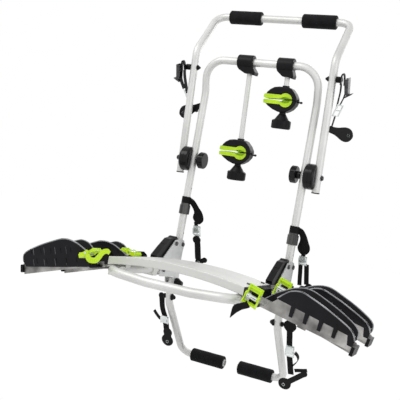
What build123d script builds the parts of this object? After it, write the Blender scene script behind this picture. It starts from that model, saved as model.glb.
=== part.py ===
from build123d import *
import os
from math import asin, cos, degrees, hypot, radians, sin

# A platform bike carrier that straps to a car's tailgate. Millimetres, +Z up, +Y towards the
# car, +X to the right as seen from behind the car. Everything is laid out from the midpoint
# between the two main pivots, and export_all moves it to the midpoint between the lower pads.

# Round tubes
TUBE_D = 28.0              # both arches and the lower arms
TUBE_WALL = 2.0
BASE_TUBE_D = 30.0         # the U-shaped platform tube
ARM_TUBE_D = 19.0          # holder arms
RUN = 0.05                 # radial clearance of a pin in its bore
SLIDE_GAP = 0.10           # radial clearance of a sliding collar

# Inner arch, the upright that carries the holder arms
LEG_HALF = 220.0           # leg centre to the middle plane
LEG_FOOT = -16.0           # lower end of the legs
INNER_LEAN_Z = 585.0       # where the arch leans towards the user
INNER_TOP_Z = 706.0
INNER_TOP_Y = -41.0
INNER_CORNER_R = 75.0
INNER_LEAN_R = 120.0
DETENT_Z = (43.0, 129.0, 215.0)   # locating holes in the legs
DETENT_R = 3.0

# Outer arch, which rests on the tailgate
LEG_SPACING = 50.0         # an outer leg stands this far outside the inner one
OUTER_HALF = LEG_HALF + LEG_SPACING
OUTER_END_Z = 274.6
OUTER_END_Y = 5.6
OUTER_BEND_Z = 738.0
OUTER_BEND_Y = -40.0
OUTER_TOP_Z = 911.0
OUTER_TOP_Y = 93.0
OUTER_CORNER_R = 42.0
OUTER_BEND_R = 55.0
PLUG_T = 4.0

# Foam pads
PAD_D = 52.0
TOP_PAD_IN = 83.0          # inner end of a top pad from the middle plane
TOP_PAD_LEN = 130.0

# Angle joints between the two arches
RATCHET_Z = 327.0
DISC_D = 92.0
DISC_ROUND = 9.0           # the outer rim of a disc is well rounded
DISC_GAP = 0.6             # between the inner and the outer disc
RATCHET_BOLT_R = 4.0
KNOB_D = 62.0
KNOB_T = 23.0
KNOB_NECK_D = 28.0
KNOB_NECK_T = 11.0

# Hinge brackets
PLATE_T = 3.0
BRACKET_GAP = 32.0         # between the two plates of a bracket
PIVOT_R = 5.0
PIN_R = 4.0
LEVER_PIN_Y = -56.0
LEVER_PIN_Z = 2.0
LEVER_HEAD_R = 26.0
LEVER_SIDE_GAP = 4.0
SIDE_BAR_Z = -96.0         # centre height of the platform tube's side bars
ARM_PIVOT_Z = -148.0       # pivot of the lower arms
HEAD_R = 8.0               # bolt heads
HEAD_T = 5.0
CLAMP_BOLT_YS = (-122.0, -34.0)
LOW_KNOB_T = 26.0

# Platform tube and deck
FRONT_Y = -478.0           # centre line of the front bar
FRONT_SAG = 10.0           # the front bar sags in the middle
FRONT_BEND_R = 48.0
REAR_END_Y = 14.0
DECK_OVERHANG = 16.0       # the deck reaches this far past the side bars' centres
DECK_HALF = LEG_HALF + DECK_OVERHANG
DECK_FRONT_Y = -455.0
DECK_DEPTH = 240.0
DECK_CROWN_Z = -35.0
DECK_END_Z = -56.0
DECK_T = 25.0
DECK_WALL = 2.5
SADDLE_YS = (-375.0, -245.0)

# Wheel trays
TRAY_OUT = 42.0            # a tray's own frame starts this far past the leg
TRAY_DROP = 0.7            # and this far below the side bar's centre
TRAY_X0 = LEG_HALF + TRAY_OUT
TRAY_Z0 = SIDE_BAR_Z - TRAY_DROP
TRAY_SLOPE = 12.5
TRAY_LEN = 312.0
TRAY_START = -10.0
TRAY_YS = {"near": -415.0, "far": -182.0}
SHEET_T = 2.5
FLOOR_HALF = 28.0
HIGH_WALL = (44.0, 47.0)   # offset and height of the tall wall's top
LOW_WALL = (33.0, 18.0)
SKIRT_DEPTH = 18.0         # the low side's skirt is this deep at the outer end
CAP_T = 10.0
TONGUE_END = 52.0          # the clamp's tongue reaches this far along the tray
TONGUE_HALF = 16.0
SEAT_DEPTH = 0.6           # pressed seats under the tongue and under the cap's plug
PLUG_LEN = 10.0
PLUG_HALF = 24.0
WING_T = 4.0
WING_TOP = (57.0, 98.0)    # offset and height of a wing's top edge
WING_GAP = 0.3
FINGER_US = (124.0, 168.0, 212.0, 256.0)

# Wheel straps and their buckles
WEB_W = 25.0
WEB_T = 2.0
SPOOL_R = 7.0
CHEEK_T = 3.0
BUCKLE_W = 46.0            # outside width over the cheeks
LOOP_U = 14.0              # the strap's centre along the tray
LOOP_REACH = {"near": 66.0, "far": 52.0}
LEVER_BACK = -0.8          # the lever's heel clears the strap behind it
BUCKLE_PLACES = {          # past the leg, from the tray's middle, above the tray's start, and two turns
    ("near", "right"): (58, -68.5, 24.7, 17, 0),
    ("far", "right"): (68, -54.5, 39.7, 17, 0),
    ("near", "left"): (-52, -90.6, 38.7, 60, -90),
    ("far", "left"): (-52, -76.6, 44.7, -80, 90),
}

# Sliding collars on the inner legs
COLLAR_D = 40.0
COLLAR_H = 36.0
COLLAR_Z = {"left": 133.0, "right": 96.0}

# Lower arms
ARM_HEAD_Z = 16.0          # the arm's end stands this far above its pivot
ARM_KNEE_Z = -214.0
ARM_PAD_Y = 217.0
ARM_PAD_Z = -442.0
ARM_KNEE_R = 90.0
ARM_ELBOW_R = 45.0
LOW_PAD_IN = 33.0
LOW_PAD_LEN = 140.0
ARM_END_IN = 28.0          # the tube's end, inside the pad's end

# Holder arms and their claws
HOLDER_X = {"left": -40.0, "right": 106.0}
HOLDER_LEN = {"left": 285.0, "right": 78.0}   # bar centre to the top of the claw
HOLDER_TILT = 7.2
CLAMP_W = 60.0
CLAMP_SHIFT = {"left": -18.0, "right": -10.0}   # the clamp's centre from the arm's axis
CLAMP_D = 52.0
CLAMP_DEPTH = 36.0
CLAW_DEPTH = 44.0
CLAW_DROP = 46.0           # from the claw's top down to its split line
JAW_GAP = 1.0
LINER_R = 25.0             # round end of the liner's seat
LINER_X = 11.0             # its centre from the arm's axis
MOUTH_HALF = 17.0          # half height of the liner's mouth end
LIP_T = 10.0               # soft lips across the middle of the round end
PIN_BAR_END = 58.0         # the thin bar on the claw's face ends here, from the arm's axis
PIN_BAR_R = 1.6
PIN_BALL_R = 4.0
LINER_PROUD = 0.8          # a liner stands this far out of the shell's faces
SCREW_R = 4.0
STAR_D = 70.0
STAR_T = 32.0
STAR_CONE = 22.0

# Hanging straps: anchor points and the lean of a freely hanging strap
SWOOP_T = 4.0
HANG = 23.6                # a strap hangs this far from -Z towards +Y
UPPER_ANCHOR_Y = -44.0
UPPER_ANCHOR_Z = 660.0
UPPER_BOLT_REACH = 36.0    # the strap's bolt ends this far outside the outer leg's centre
LOWER_ANCHOR_Z = -204.0

SIDES = {"left": -1, "right": 1}


# Small helpers
def rod(radius, start, end):
    """A round bar between two points."""
    a, b = Vector(*start), Vector(*end)
    return extrude(Plane(origin=a, z_dir=b - a) * Circle(radius), (b - a).length)


def block(x, y, z):
    """A box from three (low, high) pairs."""
    size = (x[1] - x[0], y[1] - y[0], z[1] - z[0])
    centre = ((x[0] + x[1]) / 2, (y[0] + y[1]) / 2, (z[0] + z[1]) / 2)
    return Pos(*centre) * Box(*size)


def bent_tube(points, radii, radius, wall):
    """A round tube along straight runs joined by arcs."""
    path = FilletPolyline(*points, radius=radii)
    start = Plane(origin=path @ 0, z_dir=path % 0)
    return sweep(start * (Circle(radius) - Circle(radius - wall)), path=path)


def side_plate(points, x0, x1, radius=0.0):
    """A flat plate from its outline in Y and Z, between two X positions."""
    face = make_face(Polyline(*points, close=True))
    if radius:
        face = fillet(face.vertices(), radius)
    low = min(x0, x1)
    return extrude(Plane.YZ.offset(low) * face, abs(x1 - x0))


def ribbon(points, radii, x, width=WEB_W, thick=WEB_T):
    """Flat webbing that follows a route in Y and Z, centred on a plane of constant X."""
    line = FilletPolyline(*points, radius=radii)
    return extrude(Plane.YZ.offset(x - width / 2) * trace(line, thick), width)


def mirror_sides(right):
    """The right-hand piece and its mirror image, by side name."""
    return {"right": right, "left": mirror(right, about=Plane.YZ)}


def lobed(radius, thick, count, depth):
    """A round grip with shallow finger scallops, its axis along Z from zero upwards."""
    grip = extrude(Circle(radius), thick)
    grip = chamfer(grip.edges(), thick * 0.12)
    scallop = radius * 0.42
    reach = radius + scallop - depth
    for i in range(count):
        angle = radians(360.0 * (i + 0.5) / count)
        grip -= Pos(reach * cos(angle), reach * sin(angle), -1) * extrude(Circle(scallop), thick + 2)
    return grip


# Inner arch
def inner_arch():
    legs = [(LEG_HALF, 0, LEG_FOOT), (LEG_HALF, 0, INNER_LEAN_Z), (LEG_HALF, INNER_TOP_Y, INNER_TOP_Z)]
    points = legs + [(-x, y, z) for x, y, z in reversed(legs)]
    radii = [INNER_LEAN_R, INNER_CORNER_R, INNER_CORNER_R, INNER_LEAN_R]
    tube = bent_tube(points, radii, TUBE_D / 2, TUBE_WALL)
    reach = LEG_HALF + TUBE_D
    tube -= rod(PIVOT_R + RUN, (-reach, 0, 0), (reach, 0, 0))
    tube -= rod(RATCHET_BOLT_R + RUN, (-reach, 0, RATCHET_Z), (reach, 0, RATCHET_Z))
    for z in DETENT_Z:
        tube -= rod(DETENT_R, (-reach, 0, z), (reach, 0, z))
    return tube


# Outer arch
def outer_leg_y(z):
    """Where the outer leg's centre line lies at a height below its bend."""
    share = (z - OUTER_END_Z) / (OUTER_BEND_Z - OUTER_END_Z)
    return OUTER_END_Y + share * (OUTER_BEND_Y - OUTER_END_Y)


def strap_bolt_z():
    """Height of the upper strap's bolt in the outer leg."""
    return UPPER_ANCHOR_Z + 12


def outer_arch():
    legs = [(OUTER_HALF, OUTER_END_Y, OUTER_END_Z), (OUTER_HALF, OUTER_BEND_Y, OUTER_BEND_Z),
            (OUTER_HALF, OUTER_TOP_Y, OUTER_TOP_Z)]
    points = legs + [(-x, y, z) for x, y, z in reversed(legs)]
    radii = [OUTER_BEND_R, OUTER_CORNER_R, OUTER_CORNER_R, OUTER_BEND_R]
    tube = bent_tube(points, radii, TUBE_D / 2, TUBE_WALL)
    reach = OUTER_HALF + TUBE_D
    z = strap_bolt_z()
    tube -= rod(PIN_R + RUN, (-reach, outer_leg_y(z), z), (reach, outer_leg_y(z), z))
    return tube - rod(RATCHET_BOLT_R + RUN, (-reach, 0, RATCHET_Z), (reach, 0, RATCHET_Z))


def outer_plug():
    """The thin cap on the lower end of an outer leg, with a stub inside the tube."""
    end = Vector(OUTER_HALF, OUTER_END_Y, OUTER_END_Z)
    up = (Vector(OUTER_HALF, OUTER_BEND_Y, OUTER_BEND_Z) - end).normalized()
    plane = Plane(origin=end, z_dir=up * -1)
    cap = extrude(plane * Circle(TUBE_D / 2 + 0.6), PLUG_T)
    stub_plane = Plane(origin=end, z_dir=up)
    return cap + extrude(stub_plane * Circle(TUBE_D / 2 - TUBE_WALL - RUN), 12)


def top_pad():
    """A foam sleeve on the outer arch's top bar."""
    start = (TOP_PAD_IN, OUTER_TOP_Y, OUTER_TOP_Z)
    end = (TOP_PAD_IN + TOP_PAD_LEN, OUTER_TOP_Y, OUTER_TOP_Z)
    return foam_sleeve(start, end)


def foam_sleeve(start, end):
    pad = fillet(rod(PAD_D / 2, start, end).edges(), 4)
    a, b = Vector(*start), Vector(*end)
    extra = (b - a).normalized() * 2
    return pad - rod(TUBE_D / 2 + RUN, a - extra, b + extra)


# Angle joints
def ratchet_middle():
    return (LEG_HALF + OUTER_HALF) / 2


def toothed_face(x, side):
    """Radial serrations on a disc's face, as a ring of thin wedges cut by the caller."""
    teeth = []
    count = 24
    for i in range(count):
        groove = Pos(x, 0, RATCHET_Z) * Rot(360.0 * i / count, 0, 0)
        teeth.append(groove * Pos(side * 0.6, 0, DISC_D * 0.36) * Box(1.2, 2.2, DISC_D * 0.2))
    return teeth


def ratchet_disc(inner):
    """One half of an angle joint: a disc with a saddle for its leg and serrations inside."""
    middle = ratchet_middle()
    if inner:
        x0, x1, face, side = LEG_HALF + 5, middle - DISC_GAP / 2, middle - DISC_GAP / 2, -1
        leg = rod(TUBE_D / 2 + RUN, (LEG_HALF, 0, RATCHET_Z - 80), (LEG_HALF, 0, RATCHET_Z + 80))
    else:
        x0, x1, face, side = middle + DISC_GAP / 2, OUTER_HALF - 5, middle + DISC_GAP / 2, 1
        low, high = RATCHET_Z - 80, RATCHET_Z + 80
        foot, top = (OUTER_HALF, outer_leg_y(low), low), (OUTER_HALF, outer_leg_y(high), high)
        leg = rod(TUBE_D / 2 + RUN, foot, top)
    disc = rod(DISC_D / 2, (x0, 0, RATCHET_Z), (x1, 0, RATCHET_Z))
    rim = disc.edges().sort_by(Axis.X)[0 if inner else -1]
    disc = fillet(rim, DISC_ROUND)
    disc -= leg
    disc -= rod(RATCHET_BOLT_R + RUN, (x0 - 1, 0, RATCHET_Z), (x1 + 1, 0, RATCHET_Z))
    for groove in toothed_face(face, side):
        disc -= groove
    return disc


def ratchet_bolt():
    """Carriage bolt through outer leg, discs, inner leg and knob, with its head outside."""
    outside = OUTER_HALF + TUBE_D / 2 + RUN
    knob_end = LEG_HALF - TUBE_D / 2 - KNOB_NECK_T - KNOB_T + 4
    shank = rod(RATCHET_BOLT_R, (knob_end, 0, RATCHET_Z), (outside, 0, RATCHET_Z))
    washer = rod(HEAD_R + 2, (outside, 0, RATCHET_Z), (outside + 1.6, 0, RATCHET_Z))
    head = rod(HEAD_R, (outside, 0, RATCHET_Z), (outside + 1.6 + HEAD_T, 0, RATCHET_Z))
    head = fillet(head.edges().sort_by(Axis.X)[-1], 2.5)
    return shank + washer + head


def joint_knob():
    """Round hand knob on the bolt's inner end."""
    neck_x = LEG_HALF - TUBE_D / 2 - RUN * 4
    face_x = neck_x - KNOB_NECK_T
    grip = Plane(origin=(face_x, 0, RATCHET_Z), z_dir=(-1, 0, 0)) * lobed(KNOB_D / 2, KNOB_T, 8, 2.2)
    neck = rod(KNOB_NECK_D / 2, (neck_x, 0, RATCHET_Z), (face_x - 1, 0, RATCHET_Z))
    bore = rod(RATCHET_BOLT_R + RUN, (neck_x + 1, 0, RATCHET_Z), (face_x - KNOB_T + 3.5, 0, RATCHET_Z))
    return grip + neck - bore


# Hinge brackets
def bracket_outline():
    """Side plate in Y and Z: pivot at the origin, front slope under the fold lever."""
    return [(-65, 15), (-21, 20), (7, 15), (15, 0), (11, -18), (9, -70), (19, -140), (14, -166),
            (-14, -166), (-30, -124), (-146, -120), (-150, -60)]


def plate_holes(x0, x1):
    holes = rod(PIVOT_R + RUN, (x0, 0, 0), (x1, 0, 0))
    holes += rod(PIVOT_R + RUN, (x0, 0, ARM_PIVOT_Z), (x1, 0, ARM_PIVOT_Z))
    holes += rod(PIN_R + RUN, (x0, LEVER_PIN_Y, LEVER_PIN_Z), (x1, LEVER_PIN_Y, LEVER_PIN_Z))
    for y in CLAMP_BOLT_YS:
        holes += rod(PIN_R + RUN, (x0, y, SIDE_BAR_Z), (x1, y, SIDE_BAR_Z))
    return holes


def hinge_bracket():
    """Two side plates that carry the upright, the lever, the side bar and the lower arm."""
    pair = []
    for near in (-1, 1):
        inside = LEG_HALF + near * BRACKET_GAP / 2
        outside = inside + near * PLATE_T
        plate = side_plate(bracket_outline(), inside, outside, 5)
        x0, x1 = min(inside, outside) - 1, max(inside, outside) + 1
        pair.append(plate - plate_holes(x0, x1))
    return pair[0] + pair[1]


def through_bolt(radius, y, z, nut=True):
    """A bolt across a bracket, with its head on one side and a nut on the other."""
    half = BRACKET_GAP / 2 + PLATE_T
    inner, outer = LEG_HALF - half, LEG_HALF + half
    shank = rod(radius, (inner - (HEAD_T if nut else 0), y, z), (outer, y, z))
    head = rod(HEAD_R, (outer, y, z), (outer + HEAD_T, y, z))
    head = fillet(head.edges().sort_by(Axis.X)[-1], 2)
    bolt = shank + head
    if nut:
        hexagon = Plane(origin=(inner - HEAD_T, y, z), z_dir=(1, 0, 0)) * RegularPolygon(HEAD_R, 6)
        bolt += extrude(hexagon, HEAD_T)
    return bolt


def bracket_bolts():
    """Pivot bolt, lever pin, two clamp bolts and the lower arm's bolt on one side."""
    parts = [through_bolt(PIVOT_R, 0, 0), through_bolt(PIN_R, LEVER_PIN_Y, LEVER_PIN_Z)]
    parts += [through_bolt(PIN_R, y, SIDE_BAR_Z) for y in CLAMP_BOLT_YS]
    half = BRACKET_GAP / 2 + PLATE_T
    stem = LEG_HALF - half - LOW_KNOB_T + 6
    arm = through_bolt(PIVOT_R, 0, ARM_PIVOT_Z, nut=False)
    parts.append(arm + rod(PIVOT_R, (stem, 0, ARM_PIVOT_Z), (LEG_HALF, 0, ARM_PIVOT_Z)))
    return parts


def lower_knob():
    """Conical hand knob that clamps a lower arm."""
    x1 = LEG_HALF - BRACKET_GAP / 2 - PLATE_T - RUN * 4
    plane = Plane(origin=(x1, 0, ARM_PIVOT_Z), z_dir=(-1, 0, 0))
    skirt = extrude(plane * Circle(19), 9)
    cone_plane = Plane(origin=(x1 - 9, 0, ARM_PIVOT_Z), z_dir=(-1, 0, 0))
    cone = extrude(cone_plane * Circle(17), LOW_KNOB_T - 9, taper=24)
    knob = skirt + cone
    for i in range(6):
        turn = Pos(x1, 0, ARM_PIVOT_Z) * Rot(60.0 * i, 0, 0)
        knob -= turn * Pos(-LOW_KNOB_T / 2, 0, 21.5) * Box(LOW_KNOB_T + 4, 7, 9)
    return knob - rod(PIVOT_R + RUN, (x1 + 1, 0, ARM_PIVOT_Z), (x1 - LOW_KNOB_T + 5, 0, ARM_PIVOT_Z))


def fold_lever():
    """Lock lever: a round head on the pin and a stepped handle down the bracket's slope."""
    half = BRACKET_GAP / 2 - LEVER_SIDE_GAP
    x0, x1 = LEG_HALF - half, LEG_HALF + half
    head = rod(LEVER_HEAD_R, (x0, LEVER_PIN_Y, LEVER_PIN_Z), (x1, LEVER_PIN_Y, LEVER_PIN_Z))
    handle = side_plate([(-56, 25), (-100, 17), (-116, 6), (-148, -17), (-184, -46), (-182, -59),
                         (-136, -60), (-62, -24)], x0, x1, 4)
    lever = head + handle
    thumb = block((x0 + 5, x1 - 5), (-200, -128), (-80, 40)) & side_plate(
        [(-120, 4), (-186, -49), (-181, -55), (-114, -2)], x0, x1)
    lever -= thumb
    return lever - rod(PIN_R + RUN, (x0 - 1, LEVER_PIN_Y, LEVER_PIN_Z), (x1 + 1, LEVER_PIN_Y, LEVER_PIN_Z))


# Platform
def platform_tube():
    """U-shaped tube: two side bars and a front bar that sags a little in the middle."""
    side = LEG_HALF
    z = SIDE_BAR_Z
    corner = 70.0
    half = [(side, REAR_END_Y, z), (side, FRONT_Y, z), (side - corner * 2, FRONT_Y, z - FRONT_SAG)]
    points = half + [(-x, y, zz) for x, y, zz in reversed(half)]
    radii = [FRONT_BEND_R, 260.0, 260.0, FRONT_BEND_R]
    tube = bent_tube(points, radii, BASE_TUBE_D / 2, TUBE_WALL)
    for y in CLAMP_BOLT_YS:
        tube -= rod(PIN_R + RUN, (-side - 40, y, z), (side + 40, y, z))
    return tube


def base_plug():
    """Cap on the rear end of a side bar."""
    x, y, z = LEG_HALF, REAR_END_Y, SIDE_BAR_Z
    cap = rod(BASE_TUBE_D / 2, (x, y, z), (x, y + PLUG_T, z))
    return cap + rod(BASE_TUBE_D / 2 - TUBE_WALL - RUN, (x, y, z), (x, y - 12, z))


def deck_sag():
    return DECK_CROWN_Z - DECK_END_Z


def deck_radius():
    """Radius of the deck's crown through its middle and its two ends."""
    return (DECK_HALF ** 2 + deck_sag() ** 2) / (2 * deck_sag())


def deck_layer(depth_below, y0, y1, half=DECK_HALF):
    """The part of the crowned deck from its top down to a depth, between two Y positions."""
    r = deck_radius()
    centre = Pos(0, 0, DECK_CROWN_Z - r)
    ring = rod(r, (0, y0, 0), (0, y1, 0)) - rod(r - depth_below, (0, y0 - 1, 0), (0, y1 + 1, 0))
    return (centre * ring) & block((-half, half), (y0, y1), (DECK_END_Z - DECK_T * 2, DECK_CROWN_Z + 1))


def deck_beam():
    """Crowned hollow deck with two inner ribs and open ends."""
    y0, y1 = DECK_FRONT_Y, DECK_FRONT_Y + DECK_DEPTH
    skin = deck_layer(DECK_T, y0, y1)
    skin = fillet(skin.edges().filter_by(lambda e: e.geom_type == GeomType.CIRCLE), 2.0)
    r = deck_radius()
    third = DECK_DEPTH / 3
    for i in range(3):
        a = y0 + third * i + DECK_WALL
        b = y0 + third * (i + 1) - DECK_WALL
        ring = rod(r - DECK_WALL, (0, a, 0), (0, b, 0))
        ring -= rod(r - DECK_T + DECK_WALL, (0, a - 1, 0), (0, b + 1, 0))
        cell = block((-DECK_HALF - 1, DECK_HALF + 1), (a, b), (-200, 0))
        skin -= (Pos(0, 0, DECK_CROWN_Z - r) * ring) & cell
    return skin


def deck_end_cap():
    """Plastic plate that closes the deck's right end."""
    y0, y1 = DECK_FRONT_Y, DECK_FRONT_Y + DECK_DEPTH
    slope = asin(DECK_HALF / deck_radius())
    plate = Box(4, DECK_DEPTH, DECK_T)
    plate = fillet(plate.edges().filter_by(Axis.X), 2.0)
    mid = deck_radius() - DECK_T / 2
    x = mid * sin(slope) + 2.6
    z = DECK_CROWN_Z - deck_radius() + mid * cos(slope)
    return Pos(x, (y0 + y1) / 2, z) * Rot(0, degrees(slope), 0) * plate - deck_layer(DECK_T, y0 - 1, y1 + 1)


def deck_saddle(y):
    """Seat between the deck and a side bar, held by a screw from above."""
    x, z = LEG_HALF, SIDE_BAR_Z
    seat = block((x - 15, x + 15), (y - 16, y + 16), (z + 6, DECK_END_Z - 12))
    seat -= rod(BASE_TUBE_D / 2 + RUN, (x, y - 20, z), (x, y + 20, z))
    return seat - deck_layer(DECK_T + RUN, DECK_FRONT_Y - 5, DECK_FRONT_Y + DECK_DEPTH + 5)


def deck_screw(y):
    """Round-head screw on the deck's top, over a saddle."""
    slope = asin(LEG_HALF / deck_radius())
    top = DECK_CROWN_Z - deck_radius() * (1 - cos(slope))
    return Pos(LEG_HALF, y, top) * Rot(0, degrees(slope), 0) * Pos(0, 0, 1.5 + RUN) * Cylinder(7, 3)


# Trays. The tray's own frame: X outwards along the floor, Y across, Z up from the underside.
def tray_place(where, side):
    """Moves a piece from the tray's own frame to its place. The left tray is the right one turned."""
    right = Pos(TRAY_X0, 0, TRAY_Z0) * Rot(0, TRAY_SLOPE, 0)
    turn = Rot(0, 0, 180 if side == "left" else 0)
    return Pos(0, TRAY_YS[where], 0) * turn * right


def tray_profile():
    """Folded sheet seen along the tray: tall wall at negative Y, low wall at positive Y."""
    t = SHEET_T
    hy, hz = HIGH_WALL
    ly, lz = LOW_WALL
    outer = [(-hy, hz), (-FLOOR_HALF, 0), (FLOOR_HALF, 0), (ly, lz)]
    inner = [(ly - t, lz), (FLOOR_HALF - t * 0.9, t), (-FLOOR_HALF + t * 0.85, t), (-hy + t, hz)]
    return make_face(Polyline(*outer, *inner, close=True))


def tray_channel():
    """Folded channel with a slanted inner end and drain slots in the floor."""
    channel = extrude(Plane.YZ.offset(TRAY_START) * tray_profile(), TRAY_LEN - TRAY_START)
    wedge = make_face(Polyline((TRAY_START - 1, 8), (40, 8), (76, HIGH_WALL[1] + 2), (TRAY_START - 1, 60),
                               close=True))
    channel -= extrude(Plane.XZ.offset(0) * wedge, HIGH_WALL[0] + 10)
    for start, end, half in ((TRAY_START - 1, TONGUE_END + 0.4, TONGUE_HALF + 0.4),
                             (TRAY_LEN - PLUG_LEN - 0.4, TRAY_LEN + 1, PLUG_HALF + 0.4)):
        channel -= block((start, end), (-half, half), (SHEET_T - SEAT_DEPTH, SHEET_T + 1))
    for u in (90, 150, 210, 270):
        channel -= Pos(u, 0, 0) * Box(34, 12, SHEET_T * 4)
    foot = block((150, 176), (-FLOOR_HALF, -FLOOR_HALF + 6), (-5, 0.5))
    skirt = make_face(Polyline((60, 1), (TRAY_LEN, 1), (TRAY_LEN, -SKIRT_DEPTH), close=True))
    skirt = Pos(0, FLOOR_HALF, 0) * extrude(Plane.XZ * skirt, SHEET_T)
    return channel + foot + skirt


def wing_outline(high):
    """A wing seen from its side: peak near the inner end, rounded outer end."""
    if high:
        return [(70, 47), (99, 82), (134, 98), (200, 86), (268, 68), (302, 57), (316, 34), (312, 8),
                (300, 8), (292, 40)]
    return [(-4, 1), (14, 14), (42, 48), (79, 78), (110, 93), (136, 98), (214, 82), (286, 60), (304, 46),
            (308, 24), (298, 7), (150, 3)]


def wing_sheet(high):
    """Flared sheet of constant section along the tray, before its outline is cut."""
    t = WING_T
    top_y, top_z = WING_TOP
    if high:
        wall_y, wall_z = HIGH_WALL
        lean = (wall_y - FLOOR_HALF) / wall_z
        low_z = 14.0
        off = WING_GAP
        low_y = FLOOR_HALF + lean * low_z + off
        knee_y, knee_z = wall_y + off, wall_z
    else:
        low_z = 0.5
        low_y = FLOOR_HALF + 0.5 + WING_GAP
        knee_y, knee_z = LOW_WALL[0] + 6.0, 40.0
    line = [(low_y + t / 2, low_z), (knee_y + t / 2, knee_z), (top_y - t / 2, top_z + 4)]
    sheet = trace(FilletPolyline(*line, radius=60.0), t)
    sheet = Plane.YZ.offset(-20) * sheet
    solid = extrude(sheet, TRAY_LEN + 60)
    return mirror(solid, about=Plane.XZ) if high else solid


def wing(high):
    """One plastic wing of a wheel cradle."""
    outline = make_face(Polyline(*wing_outline(high), close=True))
    outline = fillet(outline.vertices().sort_by(Axis.Y)[-3:], 14)
    reach = WING_TOP[0] + 20
    prism = extrude(Plane.XZ.offset(0) * outline, reach if high else -reach)
    panel = wing_sheet(high) & prism
    if high:
        for u in FINGER_US:
            finger = make_face(Polyline((u - 7, 60), (u + 7, 60), (u + 5, 10), (u - 5, 10), close=True))
            finger = fillet(finger.vertices().sort_by(Axis.Y)[:2], 4)
            panel += wing_sheet(True) & extrude(Plane.XZ * finger, reach)
    else:
        for u in (52, 92, 132, 172, 212, 252):
            slot = Pos(u, 0, 24) * Box(3, 200, 16) + Pos(u + 18, 0, 58) * Box(3, 200, 16)
            rib = wing_rib_sheet() & slot
            panel += rib
    return panel


def wing_rib_sheet():
    """Thicker layer on the low wing's outside, from which its short ribs are cut."""
    top_y, top_z = WING_TOP
    low_y = FLOOR_HALF + 0.5 + WING_GAP
    knee_y, knee_z = LOW_WALL[0] + 6.0, 40.0
    shift = WING_T / 2 + 1.2
    line = [(low_y + shift, 0.5), (knee_y + shift, knee_z), (top_y - WING_T + shift, top_z + 4)]
    sheet = Plane.YZ.offset(-20) * trace(FilletPolyline(*line, radius=60.0), WING_T)
    return extrude(sheet, TRAY_LEN + 60)


def tray_cap():
    """Plastic cap on a tray's outer end."""
    cap = block((TRAY_LEN + 0.1, TRAY_LEN + CAP_T), (-34, 36), (-12, 15))
    cap = fillet(cap.edges().filter_by(Axis.X), 5)
    low = SHEET_T - SEAT_DEPTH + 0.1
    plug = block((TRAY_LEN - PLUG_LEN, TRAY_LEN + 1), (-PLUG_HALF, PLUG_HALF), (low, 12))
    return cap + plug


def tray_clamp(where, side):
    """Aluminium clamp under a side bar with a tongue on the tray's floor."""
    y = TRAY_YS[where]
    x, z = LEG_HALF, SIDE_BAR_Z
    body = block((x - 18, x + 24), (y - 14, y + 14), (z - 21, z + 11.5))
    body -= rod(BASE_TUBE_D / 2 + RUN, (x, y - 30, z), (x, y + 30, z))
    if side == "left":
        body = mirror(body, about=Plane.YZ)
    low = SHEET_T - SEAT_DEPTH + 0.1
    tongue = block((-26, TONGUE_END), (-TONGUE_HALF, TONGUE_HALF), (low, SHEET_T + 5))
    tongue = tray_place(where, side) * tongue
    return body + tongue


# Wheel straps and buckles
def strap_loop(where, side):
    """Webbing that goes round the tray's inner end, in the tray's own frame."""
    low = -WEB_T / 2 - 0.4
    front = LOOP_REACH[where]
    left, right = (-front, 44) if side == "right" else (-49, front)
    route = [(left, 24), (left, low), (right, low), (right, 34), (right - 22, 54), (left + 22, 54),
             (left, 42), (left, 27)]
    return ribbon(route, 9.0, LOOP_U)


def buckle_place(where, side):
    """Where a wheel strap's buckle sits, from its leg and its tray."""
    out, along, up, tilt, turn = BUCKLE_PLACES[where, side]
    place = Pos(SIDES[side] * LEG_HALF + out, TRAY_YS[where] + along, TRAY_Z0 + up)
    return place * Rot(0, tilt, 0) * Rot(0, 0, turn)


def buckle_cheek(x0, x1, low, high, depth, back=1.0):
    """A side cheek of a ratchet buckle, rounded at both ends."""
    outline = [(back, low), (back, high - 5), (-depth * 0.35, high), (-depth, high - 4),
               (-depth * 0.8, low + 18), (-depth, low + 6), (-depth * 0.6, low)]
    return side_plate(outline, x0, x1, 1.5)


def buckle_frame():
    """Fixed half of a ratchet buckle: two cheeks, a back plate and the lower cross bar."""
    half = BUCKLE_W / 2
    frame = buckle_cheek(-half, -half + CHEEK_T, -31, 8, 15) + buckle_cheek(half - CHEEK_T, half, -31, 8, 15)
    frame += rod(3.2, (-half, -7, -26), (half, -7, -26))
    frame += block((-half, half), (-1.2, 1), (-31, -20))
    hole = rod(3.0 + RUN, (-half - 1, -6, -4), (half + 1, -6, -4))
    return frame - hole


def buckle_lever():
    """Moving half: two cheeks inside the frame and the curved thumb plate above."""
    half = BUCKLE_W / 2 - CHEEK_T - 0.4
    lever = buckle_cheek(-half, -half + CHEEK_T, -9.5, 31, 13, LEVER_BACK)
    lever += buckle_cheek(half - CHEEK_T, half, -9.5, 31, 13, LEVER_BACK)
    lever += block((-half, half), (-13, -3), (22, 25))
    lever += block((-BUCKLE_W / 2, BUCKLE_W / 2), (-5, -2), (12, 30))
    hole = rod(3.0 + RUN, (-half - 1, -6, -4), (half + 1, -6, -4))
    return lever - hole


def buckle_spool():
    """Slotted spool with the axle ends that carry both halves."""
    inner = BUCKLE_W / 2 - CHEEK_T * 2 - 0.6
    spool = rod(SPOOL_R, (-inner, -6, -4), (inner, -6, -4))
    spool += rod(3.0, (-BUCKLE_W / 2 - 1.5, -6, -4), (BUCKLE_W / 2 + 1.5, -6, -4))
    return spool - block((-inner + 2, inner - 2), (-14, 2), (-5.2, -2.8))


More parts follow.
